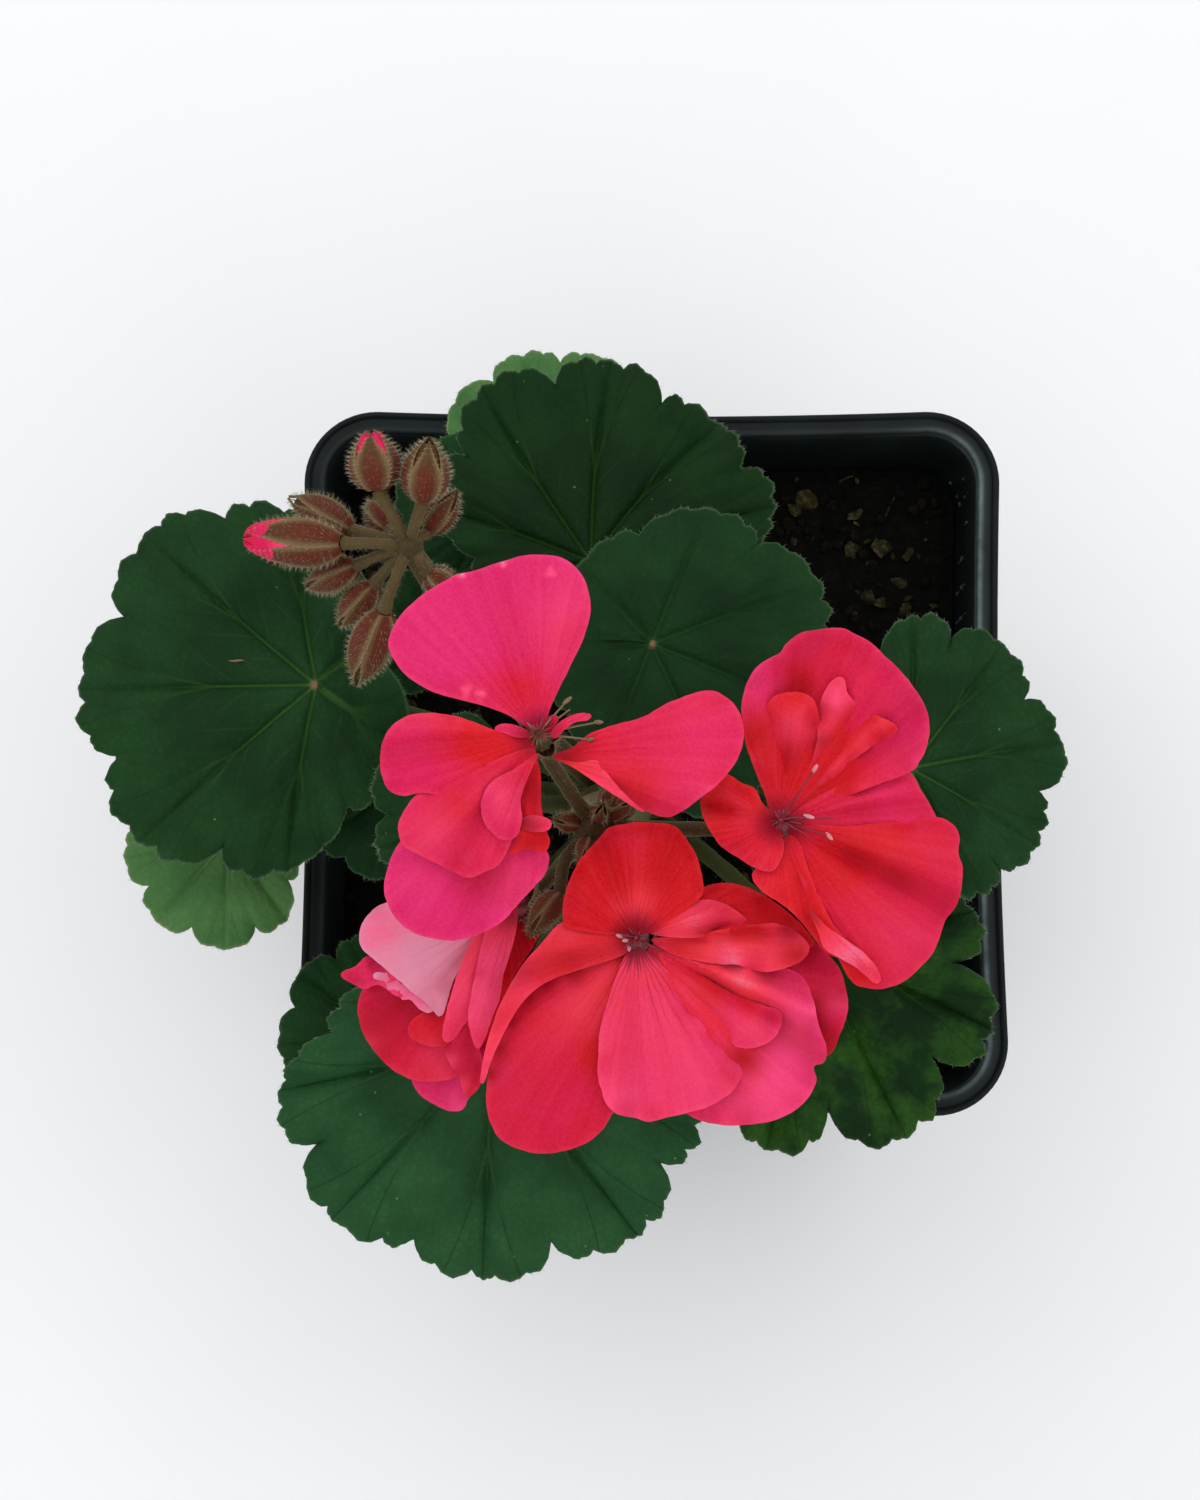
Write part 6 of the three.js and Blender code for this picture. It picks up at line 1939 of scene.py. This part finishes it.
              crests=(Crest(-28, -0.9, 4), Crest(-37, 0.9, 6)),
              washes=(Wash(10, -6.6, 3, warm=0.5, deep=0.3), Wash(15, -12, 2.6, pale=0.16),
                      Wash(17.4, -10.4, 1.4, deep=0.3), Wash(8, -8, 4, pale=0.16),
                      Wash(15, -8.4, 2, warm=0.4))),
        Petal(((-1.4, 0.6), (-5, 0.8), (-9, 1.6), (-9.6, 3.6), (-9.3, 6), (-8.4, 8.6), (-6.8, 11.2),
               (-5, 13.2),
               (-3.6, 14.7), (-1.4, 15.3), (1.6, 15.5), (4.8, 15.1), (6.6, 13.4), (8, 11), (8.7, 8.4),
               (8.8, 6.2), (7.4, 4.4), (5, 2.8), (2.4, 1)),
              Tint.SCARLET, level=1.4, far=3.6, arch=0.6, droop=0.9,
              crests=(Crest(88, 0.7, 9), Crest(70, -0.5, 6), Crest(110, -0.6, 7), Crest(140, 0.5, 12),
                      Crest(50, 0.5, 9)),
              washes=(Wash(0.8, 5, 2.2, pale=0.34), Wash(-2.4, 4, 1.4, pale=0.16),
                      Wash(-5, 3, 4, deep=0.05))),
    ), lean=(-0.5, -0.2, 0),
           tips=((-1.3, -0.4, 2.6), (-2, 0.2, 2.2), (-0.9, -1.3, 2.2), (1, 0.4, 2.4), (3.4, -1.8, 2)),
           sacs=3, seed=23),
    Floret("floret_left", (-20, -32, 182), (-0.45, -0.35, 0.82), Slot.PINK, (
        Petal(((0, 0.8), (2.8, -0.2), (4.2, -2), (3.2, -5), (0.6, -9), (-1, -12.6), (-3.2, -20), (-4, -21.8),
               (-4.6, -19.6), (-3.4, -12), (-1.6, -3)),
              Tint.SCARLET, level=-1.6, far=-5, washes=(Wash(1.4, -5, 5, deep=0.3),)),
        Petal(((-5, -13), (-12, -19.4), (-13.2, -22.8), (-12.4, -24.9), (-10.5, -26.3), (-8.4, -27.3),
               (-6.5, -27.2),
               (-5.6, -25.6), (-4.4, -24.2), (-3.6, -22.5), (-3.4, -17)),
              Tint.ROSE, level=-1.5, far=-8, frill=0.35,
              washes=(Wash(-9, -24, 2.4, deep=0.2), Wash(-7, -26.4, 2, pale=0.2))),
        Petal(((-5, -5), (-14, -7.6), (-18.5, -9.4), (-20, -11.5), (-20.5, -14), (-19.9, -16.6), (-18.5, -19),
               (-16.5, -21.3), (-14.2, -22.8), (-12, -23.4), (-9.5, -23.4), (-7.2, -22.7), (-5.8, -20),
               (-4.6, -12)),
              Tint.CRIMSON, level=-0.6, far=-7, arch=0.4, droop=-0.8, frill=0.35,
              crests=(Crest(222, -1.0, 9), Crest(240, 0.8, 6)),
              washes=(Wash(-15, -14, 6, deep=0.12, warm=0.1), Wash(-10, -22.5, 3, pale=0.2),
                      Wash(-19, -18, 2.4, pale=0.2))),
        Petal(((-6, -9), (-10, -13.2), (-13.2, -15.2), (-13.7, -17.2), (-12, -18.5), (-9.6, -18.8),
               (-8, -18.1),
               (-6, -15)),
              Tint.SCARLET, level=0.4, far=-4.2, arch=1,
              washes=(Wash(-10, -15, 3, warm=0.1), Wash(-11, -18.2, 1.6, pale=0.15))),
        Petal(((-3, -9), (-6, -13.6), (-8.9, -18.2), (-8.2, -21), (-6.8, -23.2), (-6.1, -25.5), (-5.2, -25.3),
               (-4.1, -23.9), (-3.6, -21.6), (-4.2, -18.6), (-4, -14)),
              Tint.CRIMSON, level=0.6, far=-6.4, arch=0.6,
              washes=(Wash(-5.4, -20, 2.6, deep=0.2), Wash(-7.9, -20.6, 1.1, pale=0.35),
                      Wash(-6.6, -23.8, 1.1, pale=0.35))),
        Petal(((-13, -8.6), (-17.3, -7.4), (-19.2, -6.7), (-20.8, -8), (-22.8, -9.2), (-21.5, -10.3),
               (-19.6, -11.1),
               (-17.6, -10.6), (-15, -12.2), (-12, -12)),
              Tint.PINK, level=1, far=-2.4, arch=0.6, frill=0.4,
              washes=(Wash(-21, -10, 1.8, deep=0.25), Wash(-16.4, -10.6, 1.6, pale=0.35))),
        Petal(((-12, -9.8), (-17.8, -8.9), (-18.3, -9.8), (-16.8, -10.2), (-16.5, -11.2), (-15.3, -11.3),
               (-14.6, -12.5),
               (-13.4, -12.6), (-12.4, -13.7), (-10.8, -14.3), (-9.6, -12.6)),
              Tint.BLUSH, level=1.2, far=-2, arch=0.5, frill=0.3,
              washes=(Wash(-15.6, -10.6, 2, pale=-0.25), Wash(-13, -12.6, 2, pale=-0.3))),
        Petal(((-2.6, -1.6), (-8, 0), (-13, 1), (-17, 0.4), (-19.2, -1.2), (-20.4, -3.4), (-20, -5.6),
               (-18.2, -7.3),
               (-16, -9.2), (-13.6, -11.2), (-11.4, -13), (-9.6, -14.8), (-8.7, -13.2), (-7.9, -10.4),
               (-6.2, -7.2), (-4.2, -4.2)),
              Tint.BLUSH, level=2.2, far=-1.4, arch=1.6, droop=0.9,
              crests=(Crest(206, 0.6, 9), Crest(228, -0.5, 7)),
              washes=(Wash(-18, -3, 4, pale=-0.2), Wash(-12, -8, 4, pale=0.1))),
        Petal(((-2.2, -1.2), (-4.4, -3), (-6.2, -6.4), (-7.7, -10.6), (-8.8, -14.8), (-9.2, -17.6),
               (-8.2, -18.2),
               (-6.9, -16.8), (-5.4, -14.6), (-4.4, -12), (-3.4, -8), (-2, -3.4)),
              Tint.PINK, level=2.8, far=1.6, arch=1.4, frill=0.15,
              washes=(Wash(-6.8, -12, 5, pale=0.3, warm=0.1), Wash(-4, -5, 4, pale=0.3))),
        Petal(((0.5, 0.5), (0.7, -2.6), (-0.2, -6.4), (-1.1, -9.3), (-1.4, -11.6), (-2.6, -15.2), (-4, -18.8),
               (-4.8, -18.7), (-5.7, -16), (-5.5, -12.5), (-4.6, -8), (-3.6, -3.6), (-2, 0)),
              Tint.PINK, level=3.4, far=3, arch=1.6, frill=0.2,
              washes=(Wash(-1.6, -6, 6, pale=0.32, warm=-0.3), Wash(-3.4, -14, 4, pale=0.3),
                      Wash(-4.3, -9, 1, deep=0.25))),
    ), seed=24),
)


@dataclass(frozen=True)
class Sepals:
    """Five pointed sepals round an axis, closed over a bud or open under a floret.

    base and tip are the ends of the axis, radius the greatest radius, and opened runs from 0 for a
    shut bud to 1 for sepals that show what they hold.
    """

    base: Point
    tip: Point
    radius: float
    opened: float = 0.0
    turn: float = 0.0
    flare: float = 0.0
    overshoot: float = 1.04

    def frame(self) -> tuple[Array, Array, Array, float]:
        """The axis, two directions square to it, and the length."""
        axis = np.array(self.tip, float) - np.array(self.base, float)
        length = float(np.linalg.norm(axis))
        axis = axis / length
        side = unit(np.cross(axis, [0.2, 0.1, 1.0]))
        return axis, side, np.cross(axis, side), length

    def girth(self, t: Array) -> Array:
        """The radius at shares of the length."""
        shut = np.interp(t, [0, 0.08, 0.2, 0.36, 0.5, 0.65, 0.8, 0.92, 1.0, 1.1],
                         [0.4, 0.66, 0.88, 1.0, 0.99, 0.87, 0.62, 0.36, 0.16, 0.07])
        return self.radius * (shut + 0.28 * self.opened * rise(t, 0.5, 1.0) + self.flare * t ** 2)

    def add_to(self, piece: Piece, finishes: Finishes, rng: np.random.Generator, hairs: int) -> None:
        """Adds the sepals and their hairs to a piece."""
        axis, side, other, length = self.frame()
        base = np.array(self.base, float)
        rows, columns = 16, 9
        t = np.linspace(0, self.overshoot, rows)
        s = np.linspace(-1, 1, columns)
        narrow = np.interp(t, [0, 0.3, 0.6, 0.85, self.overshoot], [0.9, 1.0, 0.88, 0.5, 0.03])
        narrow = narrow * (1 - 0.22 * self.opened * rise(t, 0.2, 0.8))
        for k in range(5):
            lift = (0.14 if k % 2 else 0.0) * (1 - rise(t, 0.7, 0.95))[:, None]
            angle = np.radians(72 * k + self.turn) + np.radians(40) * narrow[:, None] * s[None]
            girth = self.girth(t)[:, None] + lift + 0.1 * np.abs(s)[None] ** 3
            girth = girth + (0.06 + 0.2 * self.opened) * rng.uniform(-1, 1) * rise(t, 0.7, 1.0)[:, None]
            thick = 0.32 * (1 - 0.6 * np.abs(s)[None] ** 2) * np.ones((rows, 1))
            outward = np.cos(angle)[:, :, None] * side + np.sin(angle)[:, :, None] * other
            run = (t * length)[:, None, None] * axis
            outer = base + run + outward * girth[:, :, None]
            inner = base + run + outward * (girth - thick)[:, :, None]
            loops = np.concatenate([outer, inner[:, ::-1]], axis=1)
            edge = rise(np.abs(s), 0.55, 1.0)[None] * np.ones((rows, 1))
            green = rise(t, 0.55, 1.0)[:, None] * np.ones_like(edge)
            red = (1 - rise(np.abs(s), 0.15, 0.85))[None] * (1 - 0.75 * rise(t, 0.3, 0.8))[:, None]
            tone = np.stack([green, edge * 0.7, red * 0.8], axis=2)
            tones = np.concatenate([tone, tone[:, ::-1]], axis=1)
            piece.add(loft(loops, tone=tones), finishes.sepal)
            count = hairs // 2
            i = rng.integers(1, rows - 1, count)
            j = np.where(rng.uniform(0, 1, count) < 0.5, rng.integers(0, columns, count),
                         rng.choice([0, columns - 1], count))
            directions = unit(outward[i, j] + axis * rng.uniform(-0.1, 0.7, (count, 1))
                              + rng.normal(0, 0.2, (count, 3)))
            piece.add(spikes(outer[i, j], directions, rng.uniform(0.3, 1.05, count), 0.02), finishes.fuzz)


@dataclass(frozen=True)
class Bud:
    """One hairy bud on its stalk; shows names the node of the petal tips that it lets out."""

    base: Point
    tip: Point
    radius: float
    shows: str = ""
    opened: float = 0.0


@dataclass(frozen=True)
class BudUmbel:
    """The young umbel: a thin stalk, its hub, and ten nodding buds."""

    buds: tuple[Bud, ...] = (
        Bud((-38, 23.5, 188), (-39, 31, 190), 3.6, "bud_petals_back", 0.22),
        Bud((-32, 22, 188), (-31, 29.5, 192), 3.3),
        Bud((-43, 17, 184), (-55.5, 18.5, 180), 3.4, "bud_petals_left", 0.9),
        Bud((-42, 19.5, 181), (-50.5, 24.5, 178), 2.5),
        Bud((-41.5, 15, 179), (-48.5, 13, 174), 2.3),
        Bud((-39, 12.5, 178), (-44, 8, 172), 2.2),
        Bud((-37.5, 8, 182), (-41.5, -0.5, 174), 2.9),
        Bud((-37, 20, 179), (-40, 24.5, 176), 1.8),
        Bud((-31.5, 19, 182), (-27.5, 24, 185), 1.9),
        Bud((-31.5, 13.5, 182), (-27.5, 10.5, 180), 2),
    )
    seed: int = 31

    def petal_tip(self, bud: Bud, finishes: Finishes, rng: np.random.Generator) -> None:
        """The rolled petals that stand in an opening bud, with a ragged end."""
        sepals = Sepals(bud.base, bud.tip, bud.radius)
        axis, side, other, length = sepals.frame()
        base = np.array(bud.base, float)
        reach = 0.93 + 0.133 * bud.opened
        rows, columns = 22, 40
        t = np.linspace(0.25, reach, rows)
        angle = 2 * np.pi * np.arange(columns) / columns
        overlap = 0.07 * np.mod(angle * 5 / (2 * np.pi) + t[:, None] * 0.9, 1.0)
        shape = np.interp(t, [0.25, 0.5, 0.75, 0.92, 1.0, reach], [0.74, 0.9, 0.86, 0.68, 0.5, 0.12])
        shut = np.interp(t, [0.25, 0.5, 0.65, 0.8, 0.92, reach], [0.7, 0.86, 0.72, 0.52, 0.3, 0.06])
        shape = shape * bud.opened + shut * (1 - bud.opened)
        girth = bud.radius * (shape[:, None] + overlap)
        ragged = 0.05 * np.sin(angle * 9 + 1.0) * rise(t, 0.8, reach)[:, None]
        run = ((t[:, None] + ragged) * length)[:, :, None] * axis
        outward = np.cos(angle)[:, None] * side + np.sin(angle)[:, None] * other
        rings = base + run + outward[None] * girth[:, :, None]
        pale = np.clip(0.75 - rise(t, 0.45, 0.9), 0, 1)[:, None] * np.ones((1, columns))
        tone = np.stack([0.35 + 0 * pale, pale, 0.5 + 0 * pale], axis=2)
        coords = np.stack([t[:, None] + 0 * pale, angle[None] + 0 * pale, 0 * pale], axis=2)
        piece = Piece(f"{bud.shows}_rolled", Slot.PINK, bud.shows)
        piece.add(loft(rings, coords, tone), finishes.petal)
        piece.finish()

    def build(self, finishes: Finishes) -> None:
        """Makes the stalk, the buds and the petal tips."""
        rng = np.random.default_rng(self.seed)
        piece = Piece("bud_umbel", Slot.BUD, "bud_cluster")
        line = smooth_path([stem_point(128), (-21, 0, 160), BUD_HUB], 30)
        radii = np.interp(np.linspace(0, 1, 31), [0, 0.5, 1], [1.7, 1.5, 1.5])
        downy_tube(piece, line, radii, 12, finishes.stalk, finishes.down, 5.0, rng,
                   tone=np.array([0.3, 0.1, 0.1]))
        hub = np.array(BUD_HUB) + np.outer(np.linspace(-2.2, 2.2, 9), [0, 0, 1.0])
        girth = 1.9 * np.sin(np.linspace(0.3, math.pi - 0.3, 9))
        downy_tube(piece, hub, girth, 14, finishes.stalk, finishes.down, 20.0, rng)
        for index, bud in enumerate(self.buds):
            middle = (np.array(BUD_HUB) + np.array(bud.base)) / 2 + [0, 0, 1.2]
            path = smooth_path([BUD_HUB, middle, bud.base], 14)
            width = np.interp(np.linspace(0, 1, 15), [0, 0.75, 1], [0.72, 0.76, 1.0])
            downy_tube(piece, path, width, 10, finishes.stalk, finishes.down, 24.0, rng,
                       tone=np.array([0.1, 0.15, 0.1]), hair=0.6)
            sepals = Sepals(bud.base, bud.tip, bud.radius, bud.opened, 36.0 + 11 * index)
            sepals.add_to(piece, finishes, rng, int(180 * bud.radius))
            if bud.shows:
                self.petal_tip(bud, finishes, rng)
            else:
                core = smooth_path([bud.base, bud.tip], 10)[:-1]
                fat = sepals.girth(np.linspace(0, 0.9, 10)) - 0.3
                piece.add(loft(tube_rings(core, np.maximum(fat, 0.1), 12)[0]), finishes.sepal)
        piece.finish()


@dataclass(frozen=True)
class UmbelStalk:
    """The open umbel's stalk: peduncle, hub, small buds, and a pedicel and calyx for each floret.

    small_buds run out from the hub and late_bud is the base and tip of the largest shut one, in mm.
    """

    small_buds: tuple[Point, ...] = (
        (4.6, 2.2, 3.5), (5.8, -1.5, 2.5), (2.4, 4.4, 3.0), (-4.4, 0.5, 2.0), (3.6, -3.6, 3.0),
        (-1.4, -4.6, 3.4), (1.0, 1.8, 4.6),
    )
    late_bud: tuple[Point, Point] = ((-13.6, -30.6, 184), (-17.6, -36.2, 185.5))
    seed: int = 41

    def build(self, finishes: Finishes) -> None:
        """Makes the stalk and what it carries under the florets."""
        rng = np.random.default_rng(self.seed)
        piece = Piece("umbel_stalk_downy", Slot.STALK, "umbel_stalk")
        line = smooth_path([stem_point(141), (-10.5, -17, 164), UMBEL_HUB], 34)
        radii = np.interp(np.linspace(0, 1, 35), [0, 0.5, 1], [2.2, PEDUNCLE_RADIUS, PEDUNCLE_RADIUS])
        downy_tube(piece, line, radii, 14, finishes.stalk, finishes.down, 7.0, rng)
        hub = np.array(UMBEL_HUB) + np.outer(np.linspace(-2.8, 2.8, 9), [0, 0, 1.0])
        girth = 3.0 * np.sin(np.linspace(0.3, math.pi - 0.3, 9))
        downy_tube(piece, hub, girth, 16, finishes.stalk, finishes.down, 24.0, rng)
        for floret in FLORETS:
            facing = unit(np.array(floret.facing, float))
            top = np.array(floret.at) - facing * (FLORET_CORE + GAP)
            foot = top - facing * CALYX_HEIGHT
            middle = np.array(UMBEL_HUB) + (foot - np.array(UMBEL_HUB)) * 0.55 - [0, 0, 1.5]
            path = smooth_path([UMBEL_HUB, middle, foot], 20)
            width = np.interp(np.linspace(0, 1, 21), [0, 0.8, 1], [PEDICEL_RADIUS, PEDICEL_RADIUS, 1.25])
            downy_tube(piece, path, width, 12, finishes.stalk, finishes.down, 8.0, rng)
            cup = foot + np.outer(np.linspace(-0.2, CALYX_HEIGHT, 10), facing)
            fat = CALYX_RADIUS * np.interp(np.linspace(0, 1, 10), [0, 0.5, 1], [0.65, 1, 0.9])
            downy_tube(piece, cup, fat, 14, finishes.sepal, finishes.down, 16.0, rng,
                       tone=np.array([0.6, 0.1, 0.2]))
            base = tuple(foot + facing * 1.5)
            tip = tuple(foot + facing * 6.3)
            spread = Sepals(base, tip, 2.2, 0.6, rng.uniform(0, 72), flare=0.75)
            spread.add_to(piece, finishes, rng, 120)
        for k, offset in enumerate(self.small_buds):
            base = np.array(UMBEL_HUB) + np.array(offset) * 0.45
            tip = np.array(UMBEL_HUB) + np.array(offset) * 1.25
            Sepals(tuple(base), tuple(tip), 1.3, 0.0, 20.0 * k).add_to(piece, finishes, rng, 70)
        foot, tip = (np.array(p) for p in self.late_bud)
        path = smooth_path([UMBEL_HUB, (np.array(UMBEL_HUB) + foot) / 2 + [-1.5, 0, 0.5], foot], 16)
        downy_tube(piece, path, np.full(17, 0.85), 12, finishes.stalk, finishes.down, 14.0, rng)
        late = Sepals(tuple(foot), tuple(tip), 2.0, 0.1, 30.0)
        late.add_to(piece, finishes, rng, 170)
        core = smooth_path([foot, tip], 10)[:-1]
        fat = np.maximum(late.girth(np.linspace(0, 0.9, 10)) - 0.3, 0.1)
        piece.add(loft(tube_rings(core, fat, 12)[0]), finishes.sepal)
        piece.finish()


@dataclass(frozen=True)
class Stem:
    """The short thick stem with leaf scars, and the stipules where stalks leave it."""

    seed: int = 51

    def build(self, finishes: Finishes) -> None:
        """Makes the stem and its stipules."""
        rng = np.random.default_rng(self.seed)
        piece = Piece("stem_bark", Slot.STEM, "stem")
        steps = 60
        line = smooth_path(STEM_PATH, steps)
        t = np.linspace(0, 1, steps + 1)
        radii = np.interp(t, np.linspace(0, 1, 5), STEM_RADII)
        radii = radii * (1 + 0.05 * np.cos(t * 2 * np.pi * 7) ** 6)
        downy_tube(piece, line, radii, 24, finishes.stem, finishes.down, 9.0, rng,
                   tone=np.array([0.4, 0.0, 0.1]), hair=0.6, swell=0.015)
        for leaf in LEAVES:
            foot = stem_point(leaf.stem)
            out = unit((np.array(leaf.at) - foot) * [1, 1, 0])
            across = np.cross(out, [0, 0, 1.0])
            for sign in (-1, 1):
                root = foot + out * 3.4 + across * sign * 1.6 - [0, 0, 0.6]
                tip = root + out * 1.6 + across * sign * 1.4 + [0, 0, 3.4]
                steps_up = np.linspace(0, 1, 8)
                blade = root + np.outer(steps_up, tip - root)
                rings, _ = tube_rings(blade, 1.5 * (1 - steps_up ** 1.3) + 0.06, 12)
                piece.add(loft(rings), finishes.stem)
        piece.finish()


@dataclass(frozen=True)
class Studio:
    """Pale floor, soft lights and the camera at the photograph's place, in metres and watts."""

    floor_half: float = 1.6
    sky: str = "#f6f8fb"
    sky_strength: float = 0.92
    lamp_size: float = 1.6
    key_place: Point = (-0.35, 0.4, 1.35)
    key_power: float = 5.2
    fill_place: Point = (0.6, -0.35, 1.2)
    fill_power: float = 2.6

    def floor(self) -> None:
        """A wide white board that the pot stands on."""
        mesh = bpy.data.meshes.new("studio_floor")
        half = self.floor_half
        mesh.from_pydata([(-half, -half, 0), (half, -half, 0), (half, half, 0), (-half, half, 0)], [],
                         [(0, 1, 2, 3)])
        mesh.materials.append(PaintedFloor().material())
        board = bpy.data.objects.new("studio_floor", mesh)
        bpy.context.scene.collection.objects.link(board)

    def light(self, name: str, place_m: Point, power: float) -> None:
        """A square soft light that looks at the plant."""
        lamp = bpy.data.lights.new(name, "AREA")
        lamp.shape = "SQUARE"
        lamp.size = self.lamp_size
        lamp.energy = power
        holder = bpy.data.objects.new(name, lamp)
        holder.location = place_m
        aim = np.array([0, 0, 0.15]) - np.array(place_m)
        yaw = math.atan2(aim[1], aim[0])
        holder.rotation_euler = (math.pi / 2 + math.asin(aim[2] / np.linalg.norm(aim)), 0, yaw - math.pi / 2)
        bpy.context.scene.collection.objects.link(holder)

    def world(self) -> None:
        """An even white surrounding."""
        world = bpy.data.worlds.new("studio")
        world.use_nodes = True
        tree = world.node_tree
        tree.nodes.clear()
        output = add_node(tree, "ShaderNodeOutputWorld")
        glow = add_node(tree, "ShaderNodeBackground",
                        {"Color": rgba(self.sky), "Strength": self.sky_strength})
        tree.links.new(glow.outputs[0], output.inputs[0])
        bpy.context.scene.world = world

    def camera(self) -> None:
        """The camera that fits the photograph: almost straight down, from the front."""
        lens = bpy.data.cameras.new("camera")
        lens.sensor_width = SENSOR
        lens.sensor_fit = "AUTO"
        lens.lens = FOCAL_PIXELS / FRAME_HEIGHT * SENSOR
        lens.clip_start = 0.01
        holder = bpy.data.objects.new("camera", lens)
        holder.location = [c * MM for c in CAMERA_PLACE]
        holder.rotation_euler = (math.radians(CAMERA_TILT), 0, 0)
        bpy.context.scene.collection.objects.link(holder)
        bpy.context.scene.camera = holder

    def build(self) -> None:
        """Sets the stage."""
        self.camera()
        self.floor()
        self.world()
        self.light("key", self.key_place, self.key_power)
        self.light("fill", self.fill_place, self.fill_power)
        bpy.context.scene.view_settings.view_transform = "Standard"


def main() -> None:
    """Builds the studio, the pot and the plant in order."""
    logging.basicConfig(level=logging.INFO, format="%(name)s: %(message)s")
    Studio().build()
    finishes = Finishes()
    PotShell().build(finishes)
    PeatFill().build(finishes)
    Stem().build(finishes)
    for leaf in LEAVES:
        leaf.build(finishes)
    UmbelStalk().build(finishes)
    for floret in FLORETS:
        floret.build(finishes)
    BudUmbel().build(finishes)


if __name__ == "__main__":
    main()
